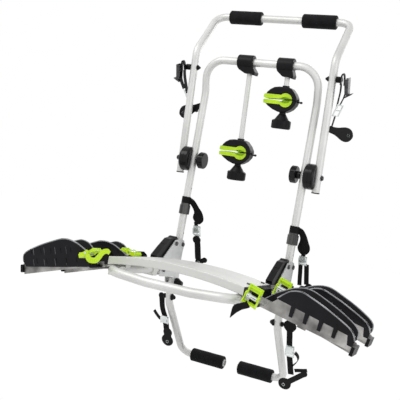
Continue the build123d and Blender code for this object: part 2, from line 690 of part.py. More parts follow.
def strap_tail():
    """Loose end of the near right strap, hanging under its buckle."""
    tail = make_face(Polyline((-12, -30), (12, -26), (-14, -50), (-30, -88), (-40, -50), close=True))
    return extrude(Plane.XZ.offset(10.4) * tail, WEB_T)


# Hanging straps. In a strap's own frame X is sideways and -Z is the way it hangs.
def hang(anchor):
    """Placement of a strap's own frame at its anchor."""
    return Pos(*anchor) * Rot(HANG, 0, 0)


def flat(points, thick, y=0.0):
    """A flat piece in the hanging plane, from points given as sideways and down."""
    face = make_face(Polyline(*[(x, -s) for x, s in points], close=True))
    return extrude(Plane.XZ.offset(-y - thick / 2) * face, thick)


def disc(radius, x, s, thick, y=0.0):
    """A flat disc in the hanging plane."""
    return extrude(Plane.XZ.offset(-y - thick / 2) * (Pos(x, -s) * Circle(radius)), thick)


def webbing(x0, s0, x1, s1, width=WEB_W, y=0.0):
    """A straight run of webbing."""
    half = width / 2
    return flat([(x0 - half, s0), (x0 + half, s0), (x1 + half, s1), (x1 - half, s1)], WEB_T, y)


def drop_pad(x, s, width, height):
    """Teardrop-shaped pad with a narrow lower neck."""
    r = width / 2
    s0 = s - height / 2 + r
    taper = [(x - r * 0.97, s0 + 5), (x + r * 0.97, s0 + 5), (x + 9, s + height / 2), (x - 9, s + height / 2)]
    pad = disc(r, x, s0, 5.0) + flat(taper, 5.0)
    return pad - disc(4.0, x, s0 - r * 0.45, 12.0)


def swoop(points):
    """A wide curved band that runs over into a rounded pad."""
    face = make_face(Spline(*[(x, -s) for x, s in points], periodic=True))
    return extrude(Plane.XZ.offset(-SWOOP_T / 2) * face, SWOOP_T)


def cam_buckle(x, s0, s1, width=32.0):
    """Pressed cam buckle: frame with two windows, a roller and a raised thumb plate."""
    half = width / 2
    frame = flat([(x - half, s0), (x + half, s0), (x + half, s1), (x - half, s1)], 3.0, -2.6)
    for a, b in ((0.14, 0.38), (0.62, 0.84)):
        top, low = s0 + (s1 - s0) * a, s0 + (s1 - s0) * b
        frame -= flat([(x - half + 4, top), (x + half - 4, top), (x + half - 4, low), (x - half + 4, low)],
                      12.0, -2.6)
    mid = s0 + (s1 - s0) * 0.5
    cheeks = []
    for side in (-1, 1):
        edge = x + side * (half - 1.2)
        cheeks.append(block((edge - 1.2, edge + 1.2), (-13, -3), (-mid - 13, -mid + 13)))
    roller = rod(4.5, (x - half, -8, -mid), (x + half, -8, -mid))
    thumb = Pos(x, -12, -mid + 8) * Rot(20, 0, 0) * Box(width - 6, 2.4, 26)
    return frame + cheeks[0] + cheeks[1] + roller + thumb


def bow(points, width):
    """A loose loop of webbing seen edge-on, standing out of the hanging plane."""
    line = Spline(*[(x, -s) for x, s in points])
    strip = trace(line, WEB_T)
    return extrude(Plane.XZ.offset(-width / 2) * strip, width)


def paddle(x0, s0, r0, x1, s1, r1, thick=4.0):
    """Coated flat hook: a round end with an eye, narrowing to a second round end."""
    dx, ds = x1 - x0, s1 - s0
    length = hypot(dx, ds)
    nx, ns = -ds / length, dx / length
    waist = min(r0, r1) * 0.9
    mx, ms = x0 + dx * 0.6, s0 + ds * 0.6
    sides = [(x0 + nx * r0 * 0.96, s0 + ns * r0 * 0.96), (mx + nx * waist, ms + ns * waist),
             (x1 + nx * r1, s1 + ns * r1), (x1 - nx * r1, s1 - ns * r1), (mx - nx * waist, ms - ns * waist),
             (x0 - nx * r0 * 0.96, s0 - ns * r0 * 0.96)]
    plate = disc(r0, x0, s0, thick) + flat(sides, thick) + disc(r1, x1, s1, thick)
    return plate - disc(3.2, x0 + dx / length * r0 * 0.2, s0 + ds / length * r0 * 0.2, 20.0)


def lower_strap(side):
    """Lower tailgate strap with its cross-bolt through the lower arm."""
    sign = SIDES[side]
    inside, outside = sign * (LEG_HALF - 24), sign * (LEG_HALF + 22)
    bolt = rod(PIN_R, (inside, 0, LOWER_ANCHOR_Z), (outside, 0, LOWER_ANCHOR_Z))
    inner = Plane(origin=(sign * (LEG_HALF - TUBE_D / 2 - RUN), 0, LOWER_ANCHOR_Z), z_dir=(-sign, 0, 0))
    bolt += extrude(inner * Circle(13), 14, taper=30)
    outer = Plane(origin=(sign * (LEG_HALF + TUBE_D / 2 + RUN), 0, LOWER_ANCHOR_Z), z_dir=(sign, 0, 0))
    bolt += extrude(outer * Circle(9), 7)
    place = hang((sign * LEG_HALF, 0, LOWER_ANCHOR_Z))
    if side == "right":
        black = [drop_pad(46, 0, 48, 46), webbing(46, 20, 48, 78, 22), webbing(50, 121, 59, 196, 22),
                 bow([(69.8, 102), (80, 112), (83, 128), (72, 148), (61, 160)], 20),
                 paddle(37, 243, 24, 108, 180, 12), webbing(72, 176, 118, 162, 14)]
        silver = [cam_buckle(52, 76, 123)]
    else:
        black = [disc(13, -31, 4, 6.0), webbing(-30, 8, -30, 60, 22), webbing(-30, 60, -18, 92, 22),
                 bow([(-34.3, 109), (-44, 103), (-56, 90), (-66, 76)], 16),
                 webbing(-16, 118, -12, 150, 26), paddle(-10, 196, 25, -8, 160, 19)]
        silver = [cam_buckle(-17, 90, 120)]
    fabric = black[0]
    for piece in black[1:]:
        fabric += piece
    return [bolt + place * fabric] + [place * s for s in silver]


def upper_strap():
    """Upper tailgate strap: cross-bolt, ratchet housing, two webbing runs and the paddle hook."""
    place = hang((OUTER_HALF, UPPER_ANCHOR_Y, UPPER_ANCHOR_Z))
    peg_z = strap_bolt_z()
    leg_y = outer_leg_y(peg_z)
    bolt = rod(PIN_R, (OUTER_HALF - 20, leg_y, peg_z), (OUTER_HALF + UPPER_BOLT_REACH, leg_y, peg_z))
    cone = Plane(origin=(OUTER_HALF - TUBE_D / 2 - RUN, leg_y, peg_z), z_dir=(-1, 0, 0))
    bolt += extrude(cone * Circle(10), 12, taper=32)
    boss = Plane(origin=(OUTER_HALF + TUBE_D / 2 + RUN, leg_y, peg_z), z_dir=(1, 0, 0))
    bolt += extrude(boss * Circle(11), 20)
    hook = flat([(32, -30), (42, -34), (48, -22), (48, 10), (33, 8), (30, -8)], 16.0)
    run_a = bow([(35, 4), (34, 30), (29, 62), (24, 92)], 22)
    run_b = bow([(52, 34), (47, 52), (41, 66), (37.6, 75.2)], 24)
    run_c = bow([(21, 119.9), (18, 134), (14, 150), (10, 166)], 24)
    fabric = place * (hook + run_a)
    neck = Vector(OUTER_HALF + 7, UPPER_ANCHOR_Y + 63, UPPER_ANCHOR_Z - 155)
    tip = Vector(OUTER_HALF + 57, UPPER_ANCHOR_Y + 95, UPPER_ANCHOR_Z - 163)
    along = (tip - neck).normalized()
    plane = Plane(origin=neck, x_dir=along, z_dir=Vector(0.524, -0.84, -0.049))
    blade = make_face(Polyline((-10, -12), (-8, 12), (18, 14), (36, 20), (50, 25), (62, 26), (62, -26),
                               (48, -24), (34, -18), (16, -12), close=True))
    blade = (blade + Pos(62, 0) * Circle(26)) - Pos(70, -2) * Circle(3.5)
    return [bolt + fabric, place * run_b, place * run_c + extrude(plane * blade, 4)]


def upper_buckle():
    """Grey ratchet housing with its roller and lever, and the three-bar buckle below it."""
    place = hang((OUTER_HALF, UPPER_ANCHOR_Y, UPPER_ANCHOR_Z))
    back = flat([(60, -18), (63, -18), (64, 44), (61, 44)], 30.0)
    cheeks = flat([(48, -14), (62, -18), (63, 42), (52, 38)], 2.5, -13.7)
    cheeks += flat([(48, -14), (62, -18), (63, 42), (52, 38)], 2.5, 13.7)
    lever = flat([(60, 40), (76, 34), (76.8, 36), (54, 50), (52, 46)], 26.0)
    bars = Pos(30, 0, -98) * Rot(0, 22, 0) * (Box(4, 30, 46) - Pos(0, 0, 12) * Box(20, 22, 9)
                                              - Pos(0, 0, -12) * Box(20, 22, 9))
    return place * (back + cheeks + lever), place * bars


def upper_roller():
    """Black roller inside the ratchet housing."""
    place = hang((OUTER_HALF, UPPER_ANCHOR_Y, UPPER_ANCHOR_Z))
    return place * rod(5.4, (53.8, -12.2, -4), (53.8, 12.2, -4))


# Sliding collars with the middle straps
def collar(side):
    """Ribbed split collar that slides on an inner leg."""
    z = COLLAR_Z[side]
    x = SIDES[side] * LEG_HALF
    body = rod(COLLAR_D / 2, (x, 0, z - COLLAR_H / 2), (x, 0, z + COLLAR_H / 2))
    body = chamfer(body.edges(), 1.5)
    for i in range(16):
        turn = Pos(x, 0, z) * Rot(0, 0, 22.5 * i)
        body -= turn * Pos(COLLAR_D / 2 + 0.6, 0, 0) * Cylinder(1.8, COLLAR_H * 0.8)
    band = rod(17.5, (x, 0, z + COLLAR_H / 2), (x, 0, z + COLLAR_H / 2 + 6))
    body += band
    return body - rod(TUBE_D / 2 + SLIDE_GAP, (x, 0, z - COLLAR_H), (x, 0, z + COLLAR_H))


def mid_strap(side):
    """Middle strap: a band above the collar, a teardrop, a cam buckle and its hook."""
    x = SIDES[side] * LEG_HALF
    z = COLLAR_Z[side] + COLLAR_H / 2 + 6.0
    ring = rod(17.2, (x, 0, z), (x, 0, z + WEB_W))
    ring -= rod(TUBE_D / 2 + 0.4, (x, 0, z - 1), (x, 0, z + WEB_W + 1))
    place = hang((x, 0, z + WEB_W / 2))
    start = 31
    if side == "right":
        black = [swoop([(19, -12), (31, -4), (43, 17), (54, 39), (62, 60), (60, 76), (51, 87), (38, 91),
                        (26, 86), (16, 72), (14, 58), (21, 42), (24, 28), (20.5, 12), (19, 0)]),
                 webbing(38, 84, 38, 100, 16), webbing(30, 128, 30, 214, 16), webbing(52, 126, 56, 206, 18),
                 paddle(44, 232, 18, 66, 212, 12)]
        silver = [cam_buckle(39, 94, 130, 30)]
    else:
        black = [swoop([(19, -12), (37, -1), (53, 24), (70, 49), (74, 68), (67, 84), (53, 93), (38, 90),
                        (27, 76), (27, 58), (33, 42), (28, 26), (20.5, 12), (19, 0)]),
                 webbing(40, 84, 43, 104, 16), webbing(47, 134, 47, 150, 16), disc(17, 44, 158, SWOOP_T),
                 webbing(47, 166, 50, 240, 26), paddle(54, 250, 16, 78, 238, 11)]
        silver = [cam_buckle(47, 97, 140, 30)]
    fabric = black[0]
    for piece in black[1:]:
        fabric += piece
    arm = block((x + 15.5, x + start + 6), (-1, 1), (z, z + WEB_W))
    return [ring + arm + place * fabric] + [place * s for s in silver]


# Lower arms
def lower_arm():
    """Bent lower arm: clamped in the bracket, out to the car and inboard under its pad."""
    points = [(LEG_HALF, 0, ARM_PIVOT_Z + ARM_HEAD_Z), (LEG_HALF, 0, ARM_KNEE_Z),
              (LEG_HALF, ARM_PAD_Y, ARM_PAD_Z), (ARM_END_IN, ARM_PAD_Y, ARM_PAD_Z)]
    tube = bent_tube(points, [ARM_KNEE_R, ARM_ELBOW_R], TUBE_D / 2, TUBE_WALL)
    reach = LEG_HALF + TUBE_D
    tube -= rod(PIVOT_R + RUN, (LEG_HALF - 40, 0, ARM_PIVOT_Z), (reach, 0, ARM_PIVOT_Z))
    return tube - rod(PIN_R + RUN, (LEG_HALF - 40, 0, LOWER_ANCHOR_Z), (reach, 0, LOWER_ANCHOR_Z))


def lower_pad():
    """Foam sleeve on the inboard end of a lower arm."""
    return foam_sleeve((LOW_PAD_IN, ARM_PAD_Y, ARM_PAD_Z), (LOW_PAD_IN + LOW_PAD_LEN, ARM_PAD_Y, ARM_PAD_Z))


# Bike holders. In a holder's own frame the bar is at the origin and the arm hangs along -Z.
def holder_place(side):
    return Pos(HOLDER_X[side], INNER_TOP_Y, INNER_TOP_Z) * Rot(HOLDER_TILT, 0, 0)


def holder_clamp(side):
    """Clamp round the top bar that runs down into the arm's socket."""
    shift = CLAMP_SHIFT[side]
    left, right = shift - CLAMP_W / 2, shift + CLAMP_W / 2
    ring = fillet(rod(CLAMP_D / 2, (left, 0, 0), (right, 0, 0)).edges(), 3)
    outline = [(left + 1, 6), (left + 2, -14), (left + 9, -29), (-14, -42), (14, -42), (16, -46), (25, -47),
               (27, -36), (right - 1, -14), (right - 1, 6)]
    body = extrude(Plane.XZ.offset(-CLAMP_DEPTH / 2) * make_face(Polyline(*outline, close=True)), CLAMP_DEPTH)
    body = fillet(body.edges().filter_by(Axis.Y), 3)
    for x in (18, 22):
        body -= block((x, x + 1.6), (-CLAMP_DEPTH, CLAMP_DEPTH), (-50, -41))
    clamp = ring + body - rod(TUBE_D / 2 + RUN, (left - 9, 0, 0), (right + 9, 0, 0))
    clamp -= rod(ARM_TUBE_D / 2 + RUN, (0, 0, -28), (0, 0, -80))
    return holder_place(side) * clamp


def holder_arm(side):
    """Straight arm with the jaw screw that stands out of its lower end."""
    length = HOLDER_LEN[side]
    tube = rod(ARM_TUBE_D / 2, (0, 0, -29), (0, 0, -length - 8))
    tube -= rod(ARM_TUBE_D / 2 - 1.5, (0, 0, -28), (0, 0, -length + 8))
    low = -length - CLAW_DROP * 2 - STAR_CONE - STAR_T + 6
    screw = rod(SCREW_R, (0, 0, -length), (0, 0, low))
    return holder_place(side) * (tube + screw)


def claw_outline():
    """Outer shape of a closed claw seen from the front, about the arm's axis and the split line."""
    return [(-69, -8), (-67, 12), (-62, 24), (-52, 34), (-37, 43), (-19, 46), (14, 46), (27, 42), (42, 26),
            (50, 12), (52, 0), (47, -16), (35, -31), (21, -40), (12, -44), (-13, -44), (-34, -37), (-55, -25),
            (-66, -15)]


def claw_slab(points, depth, radius=0.0):
    """An XZ outline extruded symmetrically in Y."""
    face = make_face(Polyline(*points, close=True))
    if radius:
        face = fillet(face.vertices(), radius)
    return extrude(Plane.XZ.offset(-depth / 2) * face, depth)


def liner_seat(grow, depth):
    """The keyhole that holds the liners, grown by a margin."""
    round_end = extrude(Plane.XZ.offset(-depth / 2) * (Pos(LINER_X, -1) * Circle(LINER_R + grow)), depth)
    half = MOUTH_HALF + grow
    return round_end + block((-90, LINER_X), (-depth / 2, depth / 2), (-half, half))


def claw_space():
    """The opening between the two liners, with a flared mouth."""
    lens = claw_slab([(-90, 12), (-66, 1.6), (-40, 1.6), (-12, 3), (0, 9), (11, 11), (24, 8), (31, 0),
                      (24, -9), (11, -12), (0, -10), (-12, -4), (-40, -2.2), (-66, -2.2), (-90, -14)],
                     CLAW_DEPTH * 2)
    slit = block((-8, 31), (-LIP_T / 2, LIP_T / 2), (-1.2, 1.2))
    return lens - block((-8, 40), (-LIP_T / 2, LIP_T / 2), (-30, 30)) + slit


def half_space(upper, margin=0.0):
    """Everything above or below the split line."""
    gap = JAW_GAP / 2 + margin
    z = (gap, 120) if upper else (-160, -gap)
    return block((-120, 120), (-60, 60), z)


def claw_place(side):
    return holder_place(side) * Pos(0, 0, -HOLDER_LEN[side] - CLAW_DROP)


def claw_jaw(side, upper):
    """Black jaw shell: the upper one holds the arm, the lower one ends in the knob's seat."""
    shell = claw_slab(claw_outline(), CLAW_DEPTH, 6.0)
    rims = shell.faces().filter_by(Axis.Y).edges()
    shell = fillet(rims, 5.0)
    shell -= liner_seat(0.0, CLAW_DEPTH * 2)
    shell = shell & half_space(upper)
    if upper:
        shell += rod(13, (0, 0, 40), (0, 0, CLAW_DROP + 5))
        shell -= rod(ARM_TUBE_D / 2 + RUN, (0, 0, CLAW_DROP - 8.5), (0, 0, CLAW_DROP + 20))
        bar_y, bar_z = -CLAW_DEPTH / 2 - LINER_PROUD - 0.3 - PIN_BAR_R, 2.6
        shell += rod(PIN_BAR_R, (8, bar_y, bar_z), (PIN_BAR_END, bar_y, bar_z))
        shell += block((39, 46), (bar_y, -CLAW_DEPTH / 2 + 6), (bar_z - 1.4, bar_z + 3))
        shell += Pos(PIN_BAR_END + 1, bar_y, bar_z) * Sphere(PIN_BALL_R)
    else:
        shell += rod(12, (0, 0, -40), (0, 0, -50))
    shell -= rod(SCREW_R + RUN, (0, 0, 90), (0, 0, -90))
    return claw_place(side) * shell


def claw_liner(side, upper):
    """Bright rubber liner of one jaw, standing a little proud of the shell."""
    depth = CLAW_DEPTH + LINER_PROUD * 2
    body = liner_seat(-0.05, depth) & claw_slab([(-70, -18), (-72, -8), (-72, 8), (-69, 18), (60, 30),
                                                 (60, -30)], depth)
    body -= claw_space()
    body = body & half_space(upper, -0.1)
    body -= rod(SCREW_R + 0.4, (0, 0, 90), (0, 0, -90))
    return claw_place(side) * body


def star_knob(side):
    """Lobed hand knob with its conical skirt, threaded on the jaw screw."""
    top = -50.0 - RUN * 4
    skirt = extrude(Pos(0, 0, top) * Circle(13), -STAR_CONE, taper=-34)
    grip = Pos(0, 0, top - STAR_CONE - STAR_T + 1) * lobed(STAR_D / 2, STAR_T, 6, 5.0)
    bore = rod(SCREW_R + RUN, (0, 0, top + 1), (0, 0, top - STAR_CONE - STAR_T + 8))
    return claw_place(side) * (grip + skirt - bore)


def export_all(nodes):
    """Writes every node about the midpoint between the lower pads."""
    os.makedirs("parts", exist_ok=True)
    shift = Pos(0, -ARM_PAD_Y, -ARM_PAD_Z)
    for name, solids in nodes.items():
        group = [shift * s for s in solids]
        shape = group[0] if len(group) == 1 else Compound(children=group)
        export_step(shape, f"parts/{name}.step")


def main():
    nodes = {}
    nodes["inner_arch"] = [inner_arch()]
    nodes["outer_arch"] = [outer_arch()]
    nodes["top_pads"] = list(mirror_sides(top_pad()).values())
    for side, sign in SIDES.items():
        flip = (lambda s: s) if sign > 0 else (lambda s: mirror(s, about=Plane.YZ))
        nodes[f"hinge_bracket_{side}"] = [flip(hinge_bracket())]
        nodes[f"fold_lever_{side}"] = [flip(fold_lever())]
        nodes[f"joint_knob_{side}"] = [flip(joint_knob())]
        nodes[f"lower_knob_{side}"] = [flip(lower_knob())]
        nodes[f"lower_arm_{side}"] = [flip(lower_arm())]
        nodes[f"lower_pad_{side}"] = [flip(lower_pad())]
        nodes[f"lower_strap_{side}"] = lower_strap(side)
        nodes[f"collar_{side}"] = [collar(side)]
        nodes[f"mid_strap_{side}"] = mid_strap(side)
        nodes[f"holder_clamp_{side}"] = [holder_clamp(side)]
        nodes[f"holder_arm_{side}"] = [holder_arm(side)]
        nodes[f"claw_upper_{side}"] = [claw_jaw(side, True)]
        nodes[f"claw_lower_{side}"] = [claw_jaw(side, False)]
        nodes[f"claw_liner_upper_{side}"] = [claw_liner(side, True)]
        nodes[f"claw_liner_lower_{side}"] = [claw_liner(side, False)]
        nodes[f"star_knob_{side}"] = [star_knob(side)]
    nodes["platform_bolts"] = [s for b in bracket_bolts() for s in mirror_sides(b).values()]
    nodes["ratchet_bolts"] = list(mirror_sides(ratchet_bolt()).values())
    nodes["ratchet_inner_discs"] = list(mirror_sides(ratchet_disc(True)).values())
    nodes["outer_arch_fittings"] = list(mirror_sides(ratchet_disc(False)).values()) + list(
        mirror_sides(outer_plug()).values())
    nodes["platform_tube"] = [platform_tube()]
    nodes["deck_beam"] = [deck_beam()]
    caps = list(mirror_sides(base_plug()).values()) + list(mirror_sides(deck_end_cap()).values())
    fittings = [s for y in SADDLE_YS for s in mirror_sides(deck_saddle(y)).values()]
    screws = [s for y in SADDLE_YS for s in mirror_sides(deck_screw(y)).values()]
    nodes["platform_bolts"] += screws
    loops, frames, spools = [], [], []
    for where in TRAY_YS:
        for side in SIDES:
            place = tray_place(where, side)
            nodes[f"tray_{where}_{side}"] = [place * tray_channel()]
            nodes[f"cradle_{where}_{side}"] = [place * wing(True), place * wing(False)]
            caps.append(place * tray_cap())
            fittings.append(tray_clamp(where, side))
            loops.append(place * strap_loop(where, side))
            buckle = buckle_place(where, side)
            frames.append(buckle * buckle_frame())
            spools.append(buckle * buckle_spool())
            nodes[f"buckle_lever_{where}_{side}"] = [buckle * buckle_lever()]
    loops.append(buckle_place("near", "right") * strap_tail())
    nodes["platform_end_caps"] = caps
    nodes["platform_fittings"] = fittings
    nodes["wheel_straps"] = loops
    nodes["buckle_frames"] = frames
    nodes["buckle_spools"] = spools
    upper = upper_strap() + [upper_roller()]
    nodes["upper_straps"] = [s for piece in upper for s in mirror_sides(piece).values()]
    nodes["upper_buckles"] = [s for b in upper_buckle() for s in mirror_sides(b).values()]
    export_all(nodes)


main()
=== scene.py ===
# %% [markdown]
# # A tailgate bicycle carrier, dressed
#
# The carrier is a folding frame of silver tube with black fittings: two tube arches, a crowned
# deck, four drooping wheel trays and the straps that hold it to a car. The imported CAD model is
# the frame of this scene. Here it gets its finishes, and the soft pieces are made again as
# surfaces that numpy works out. Lengths are in metres, with +Z up, +Y towards the car and +X to
# the right. Only the tables of outlines are in millimetres.

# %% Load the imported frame
import math

import bmesh
import bpy
import numpy as np
from mathutils import Euler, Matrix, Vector


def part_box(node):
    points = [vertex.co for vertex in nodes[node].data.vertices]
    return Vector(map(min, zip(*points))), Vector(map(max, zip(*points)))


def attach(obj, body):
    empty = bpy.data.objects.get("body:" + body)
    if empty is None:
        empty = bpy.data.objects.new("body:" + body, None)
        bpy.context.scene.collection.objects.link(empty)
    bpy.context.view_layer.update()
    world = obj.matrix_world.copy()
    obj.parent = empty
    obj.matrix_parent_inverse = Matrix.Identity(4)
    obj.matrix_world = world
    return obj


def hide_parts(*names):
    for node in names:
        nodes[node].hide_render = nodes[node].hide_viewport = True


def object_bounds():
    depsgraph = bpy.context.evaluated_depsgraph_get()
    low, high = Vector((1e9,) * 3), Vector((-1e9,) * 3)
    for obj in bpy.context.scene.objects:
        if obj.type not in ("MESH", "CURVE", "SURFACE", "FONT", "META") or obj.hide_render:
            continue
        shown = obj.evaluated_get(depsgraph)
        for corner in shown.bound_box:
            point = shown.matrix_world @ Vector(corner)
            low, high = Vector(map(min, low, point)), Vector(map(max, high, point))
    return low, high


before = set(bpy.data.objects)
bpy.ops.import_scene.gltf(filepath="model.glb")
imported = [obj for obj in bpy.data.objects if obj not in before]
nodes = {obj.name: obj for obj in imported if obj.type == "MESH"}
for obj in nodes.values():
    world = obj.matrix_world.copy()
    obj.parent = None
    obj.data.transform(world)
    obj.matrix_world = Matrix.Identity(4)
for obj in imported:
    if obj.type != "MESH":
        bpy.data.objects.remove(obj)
cad_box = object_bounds()
print("CAD nodes", len(nodes), "box", cad_box)

# %% [markdown]
# ## The camera
#
# The viewer stands to the right of the carrier and a little above its deck, about 2.5 m away,
# and the picture is tilted by ten degrees. The values come from fitting the tubes and joints
# of the model to the picture. A camera made this way needs no aiming constraint.

# %% Camera
SENSOR_WIDTH = 36.0  # mm
FOCAL_LENGTH = 61.44  # mm
CAMERA_PLACE = (0.9128, -2.5647, 0.5935)
CAMERA_TURN = (90.601, -10.271, 24.517)  # degrees about X, Y and Z

scene = bpy.context.scene


def placed(name, data):
    """A new object of this data, put into the scene."""
    item = bpy.data.objects.new(name, data)
    scene.collection.objects.link(item)
    return item


camera_data = bpy.data.cameras.new("viewer")
camera_data.sensor_width = SENSOR_WIDTH
camera_data.lens = FOCAL_LENGTH
camera = placed("viewer", camera_data)
camera.location = CAMERA_PLACE
camera.rotation_euler = Euler([math.radians(angle) for angle in CAMERA_TURN], "XYZ")
scene.camera = camera
print("lens", camera_data.lens, "mm")

# %% [markdown]
# ## Studio
#
# A product picture on white needs two things that pull against each other: a white ground, and
# light that is low enough for pale metal to keep its shape. The world is white only for rays
# that come from the camera, bounce off gloss or pass through glass, and gives the object a
# plainer grey light.


# %% Kinds of ray
def any_ray(n, k, *kinds):
    """A socket that is 1 for any of these kinds of ray: the maximum of their Light Path outputs."""
    path = n.new("ShaderNodeLightPath")
    socket = path.outputs[kinds[0]]
    for kind in kinds[1:]:
        most = n.new("ShaderNodeMath")
        most.operation = "MAXIMUM"
        k.new(socket, most.inputs[0])
        k.new(path.outputs[kind], most.inputs[1])
        socket = most.outputs[0]
    return socket


# %% World and view
OBJECT_LIGHT = (0.96, 0.98, 1, 1)
OBJECT_LIGHT_STRENGTH = 0.62

scene.view_settings.view_transform = "Standard"
world = bpy.data.worlds.new("studio")
scene.world = world
world.use_nodes = True
n, k = world.node_tree.nodes, world.node_tree.links
n.clear()
seen, given = n.new("ShaderNodeBackground"), n.new("ShaderNodeBackground")
seen.inputs["Color"].default_value = (1, 1, 1, 1)
seen.inputs["Strength"].default_value = 1.0
given.inputs["Color"].default_value = OBJECT_LIGHT
given.inputs["Strength"].default_value = OBJECT_LIGHT_STRENGTH
mix, world_out = n.new("ShaderNodeMixShader"), n.new("ShaderNodeOutputWorld")
k.new(any_ray(n, k, "Is Camera Ray", "Is Glossy Ray", "Is Transmission Ray"), mix.inputs["Fac"])
k.new(given.outputs[0], mix.inputs[1])
k.new(seen.outputs[0], mix.inputs[2])
k.new(mix.outputs[0], world_out.inputs["Surface"])
print("view transform", scene.view_settings.view_transform)

# %% Lamps
LIT_POINT = (0.0, -0.25, 0.6)
LAMPS = {  # place, side in metres, power in watts
    "key_lamp": ((-1.6, -2.6, 3.2), 1.8, 42.0),
    "fill_lamp": ((3.0, -1.6, 1.6), 2.2, 22.0),
    "rim_lamp": ((0.4, 2.6, 2.4), 2.0, 22.0),
}


def soft_lamp(name, place, size, power):
    """A square area lamp that looks at the lit point."""
    data = bpy.data.lights.new(name, "AREA")
    data.size = size
    data.energy = power
    lamp = placed(name, data)
    lamp.location = place
    lamp.rotation_euler = (Vector(LIT_POINT) - Vector(place)).to_track_quat("-Z", "Y").to_euler()


for lamp_name, lamp_row in LAMPS.items():
    soft_lamp(lamp_name, *lamp_row)
print("lamps", list(LAMPS))

# %% [markdown]
# ## Floor
#
# The carrier hangs on a car, so nothing of it stands on the floor. A pale floor well below it
# still catches a faint shadow. It is one quad with a white, dull surface that shows as white.

# %% Floor
FLOOR_REACH = 14.0
FLOOR_GAP = 0.10  # below the carrier's lowest point
FLOOR_PAINT = (0.93, 0.93, 0.93, 1)
FLOOR_GLOW = 1.02
GLOW_SHARE = 0.965  # the rest shows the shadow

floor_z = cad_box[0][2] - FLOOR_GAP
corners = [(x * FLOOR_REACH, y * FLOOR_REACH, floor_z)
           for x, y in ((-1, -1), (1, -1), (1, 1), (-1, 1))]
floor_mesh = bpy.data.meshes.new("floor")
floor_mesh.from_pydata(corners, [], [(0, 1, 2, 3)])
floor = placed("floor", floor_mesh)
floor_look = bpy.data.materials.new("white_floor")
floor_look.use_nodes = True
n, k = floor_look.node_tree.nodes, floor_look.node_tree.links
n.clear()
dull, glow = n.new("ShaderNodeBsdfDiffuse"), n.new("ShaderNodeEmission")
dull.inputs["Color"].default_value = FLOOR_PAINT
glow.inputs["Strength"].default_value = FLOOR_GLOW
share, mix = n.new("ShaderNodeMath"), n.new("ShaderNodeMixShader")
share.operation = "MULTIPLY"
share.inputs[1].default_value = GLOW_SHARE
floor_out = n.new("ShaderNodeOutputMaterial")
k.new(any_ray(n, k, "Is Camera Ray", "Is Glossy Ray"), share.inputs[0])
k.new(share.outputs[0], mix.inputs["Fac"])
k.new(dull.outputs[0], mix.inputs[1])
k.new(glow.outputs[0], mix.inputs[2])
k.new(mix.outputs[0], floor_out.inputs["Surface"])
floor_mesh.materials.append(floor_look)
print("floor at", round(floor_z, 3))

# %% [markdown]
# ## Finishes
#
# Every finish on the carrier is a plain colour that varies a little: anodised tube has faint
# clouds and a fine grain, moulded plastic an even sparkle, foam an open skin. Some finishes
# carry painted light as well: the trays' dark clouds and the collars' streaks are painted
# reflection, and the grey of the wing edges and fine ribs is painted highlight. One node group
# does this for all of them, with its own scale and strength in each material. It reads Object
# coordinates, which are metres in the carrier's frame, so the grain has its true size. The
# helpers here make the parts that this group and the weave group of the straps share.

# %% Helpers for shader groups
COLOUR, NUMBER, ARROW = "NodeSocketColor", "NodeSocketFloat", "NodeSocketVector"


def open_group(name, inputs, outputs):
    """A node group with these sockets; returns it, its nodes and links, and its two end nodes."""
    group = bpy.data.node_groups.new(name, "ShaderNodeTree")
    for label, kind, value in inputs:
        socket = group.interface.new_socket(name=label, in_out="INPUT", socket_type=kind)
        if value is not None:
            socket.default_value = value
    for label, kind in outputs:
        group.interface.new_socket(name=label, in_out="OUTPUT", socket_type=kind)
    n = group.nodes
    return group, n, group.links, n.new("NodeGroupInput"), n.new("NodeGroupOutput")


def blended(n, k, factor, low, high):
    """Colour = low + factor * (high - low)."""
    mixer = n.new("ShaderNodeMix")
    mixer.data_type = "RGBA"
    k.new(factor, mixer.inputs["Factor"])
    k.new(low, mixer.inputs["A"])
    k.new(high, mixer.inputs["B"])
    return mixer.outputs["Result"]


def tilted(n, k, height, strength, depth):
    """The normal that a Bump node makes of a height whose full step is depth metres."""
    bump = n.new("ShaderNodeBump")
    bump.inputs["Distance"].default_value = depth
    k.new(strength, bump.inputs["Strength"])
    k.new(height, bump.inputs["Height"])
    return bump.outputs["Normal"]


def new_look(name, tree, shown):
    """A material with a group node of this tree, whose outputs go into its Principled shader.
    Returns it, its nodes and links, the shader and the group node."""
    look = bpy.data.materials.new(name)
    look.use_nodes = True
    look.diffuse_color = shown
    n, k = look.node_tree.nodes, look.node_tree.links
    shader, group = n["Principled BSDF"], n.new("ShaderNodeGroup")
    group.node_tree = tree
    for out in group.outputs:
        k.new(out, shader.inputs["Base Color" if out.name == "Color" else out.name])
    return look, n, k, shader, group


# %% The shared grain group
CLOUD_EDGES = (0.32, 0.68)  # the noise where clouds start and are full
GRAIN_STEP = 0.0004
GRAIN_INPUTS = (
    ("Coordinates", ARROW, None), ("Light", COLOUR, (1, 1, 1, 1)), ("Dark", COLOUR, (0, 0, 0, 1)),
    ("Cloud Scale", NUMBER, 9.0), ("Grain Scale", NUMBER, 900.0), ("Grain Depth", NUMBER, 0.1),
    ("Rough Low", NUMBER, 0.3), ("Rough High", NUMBER, 0.4))


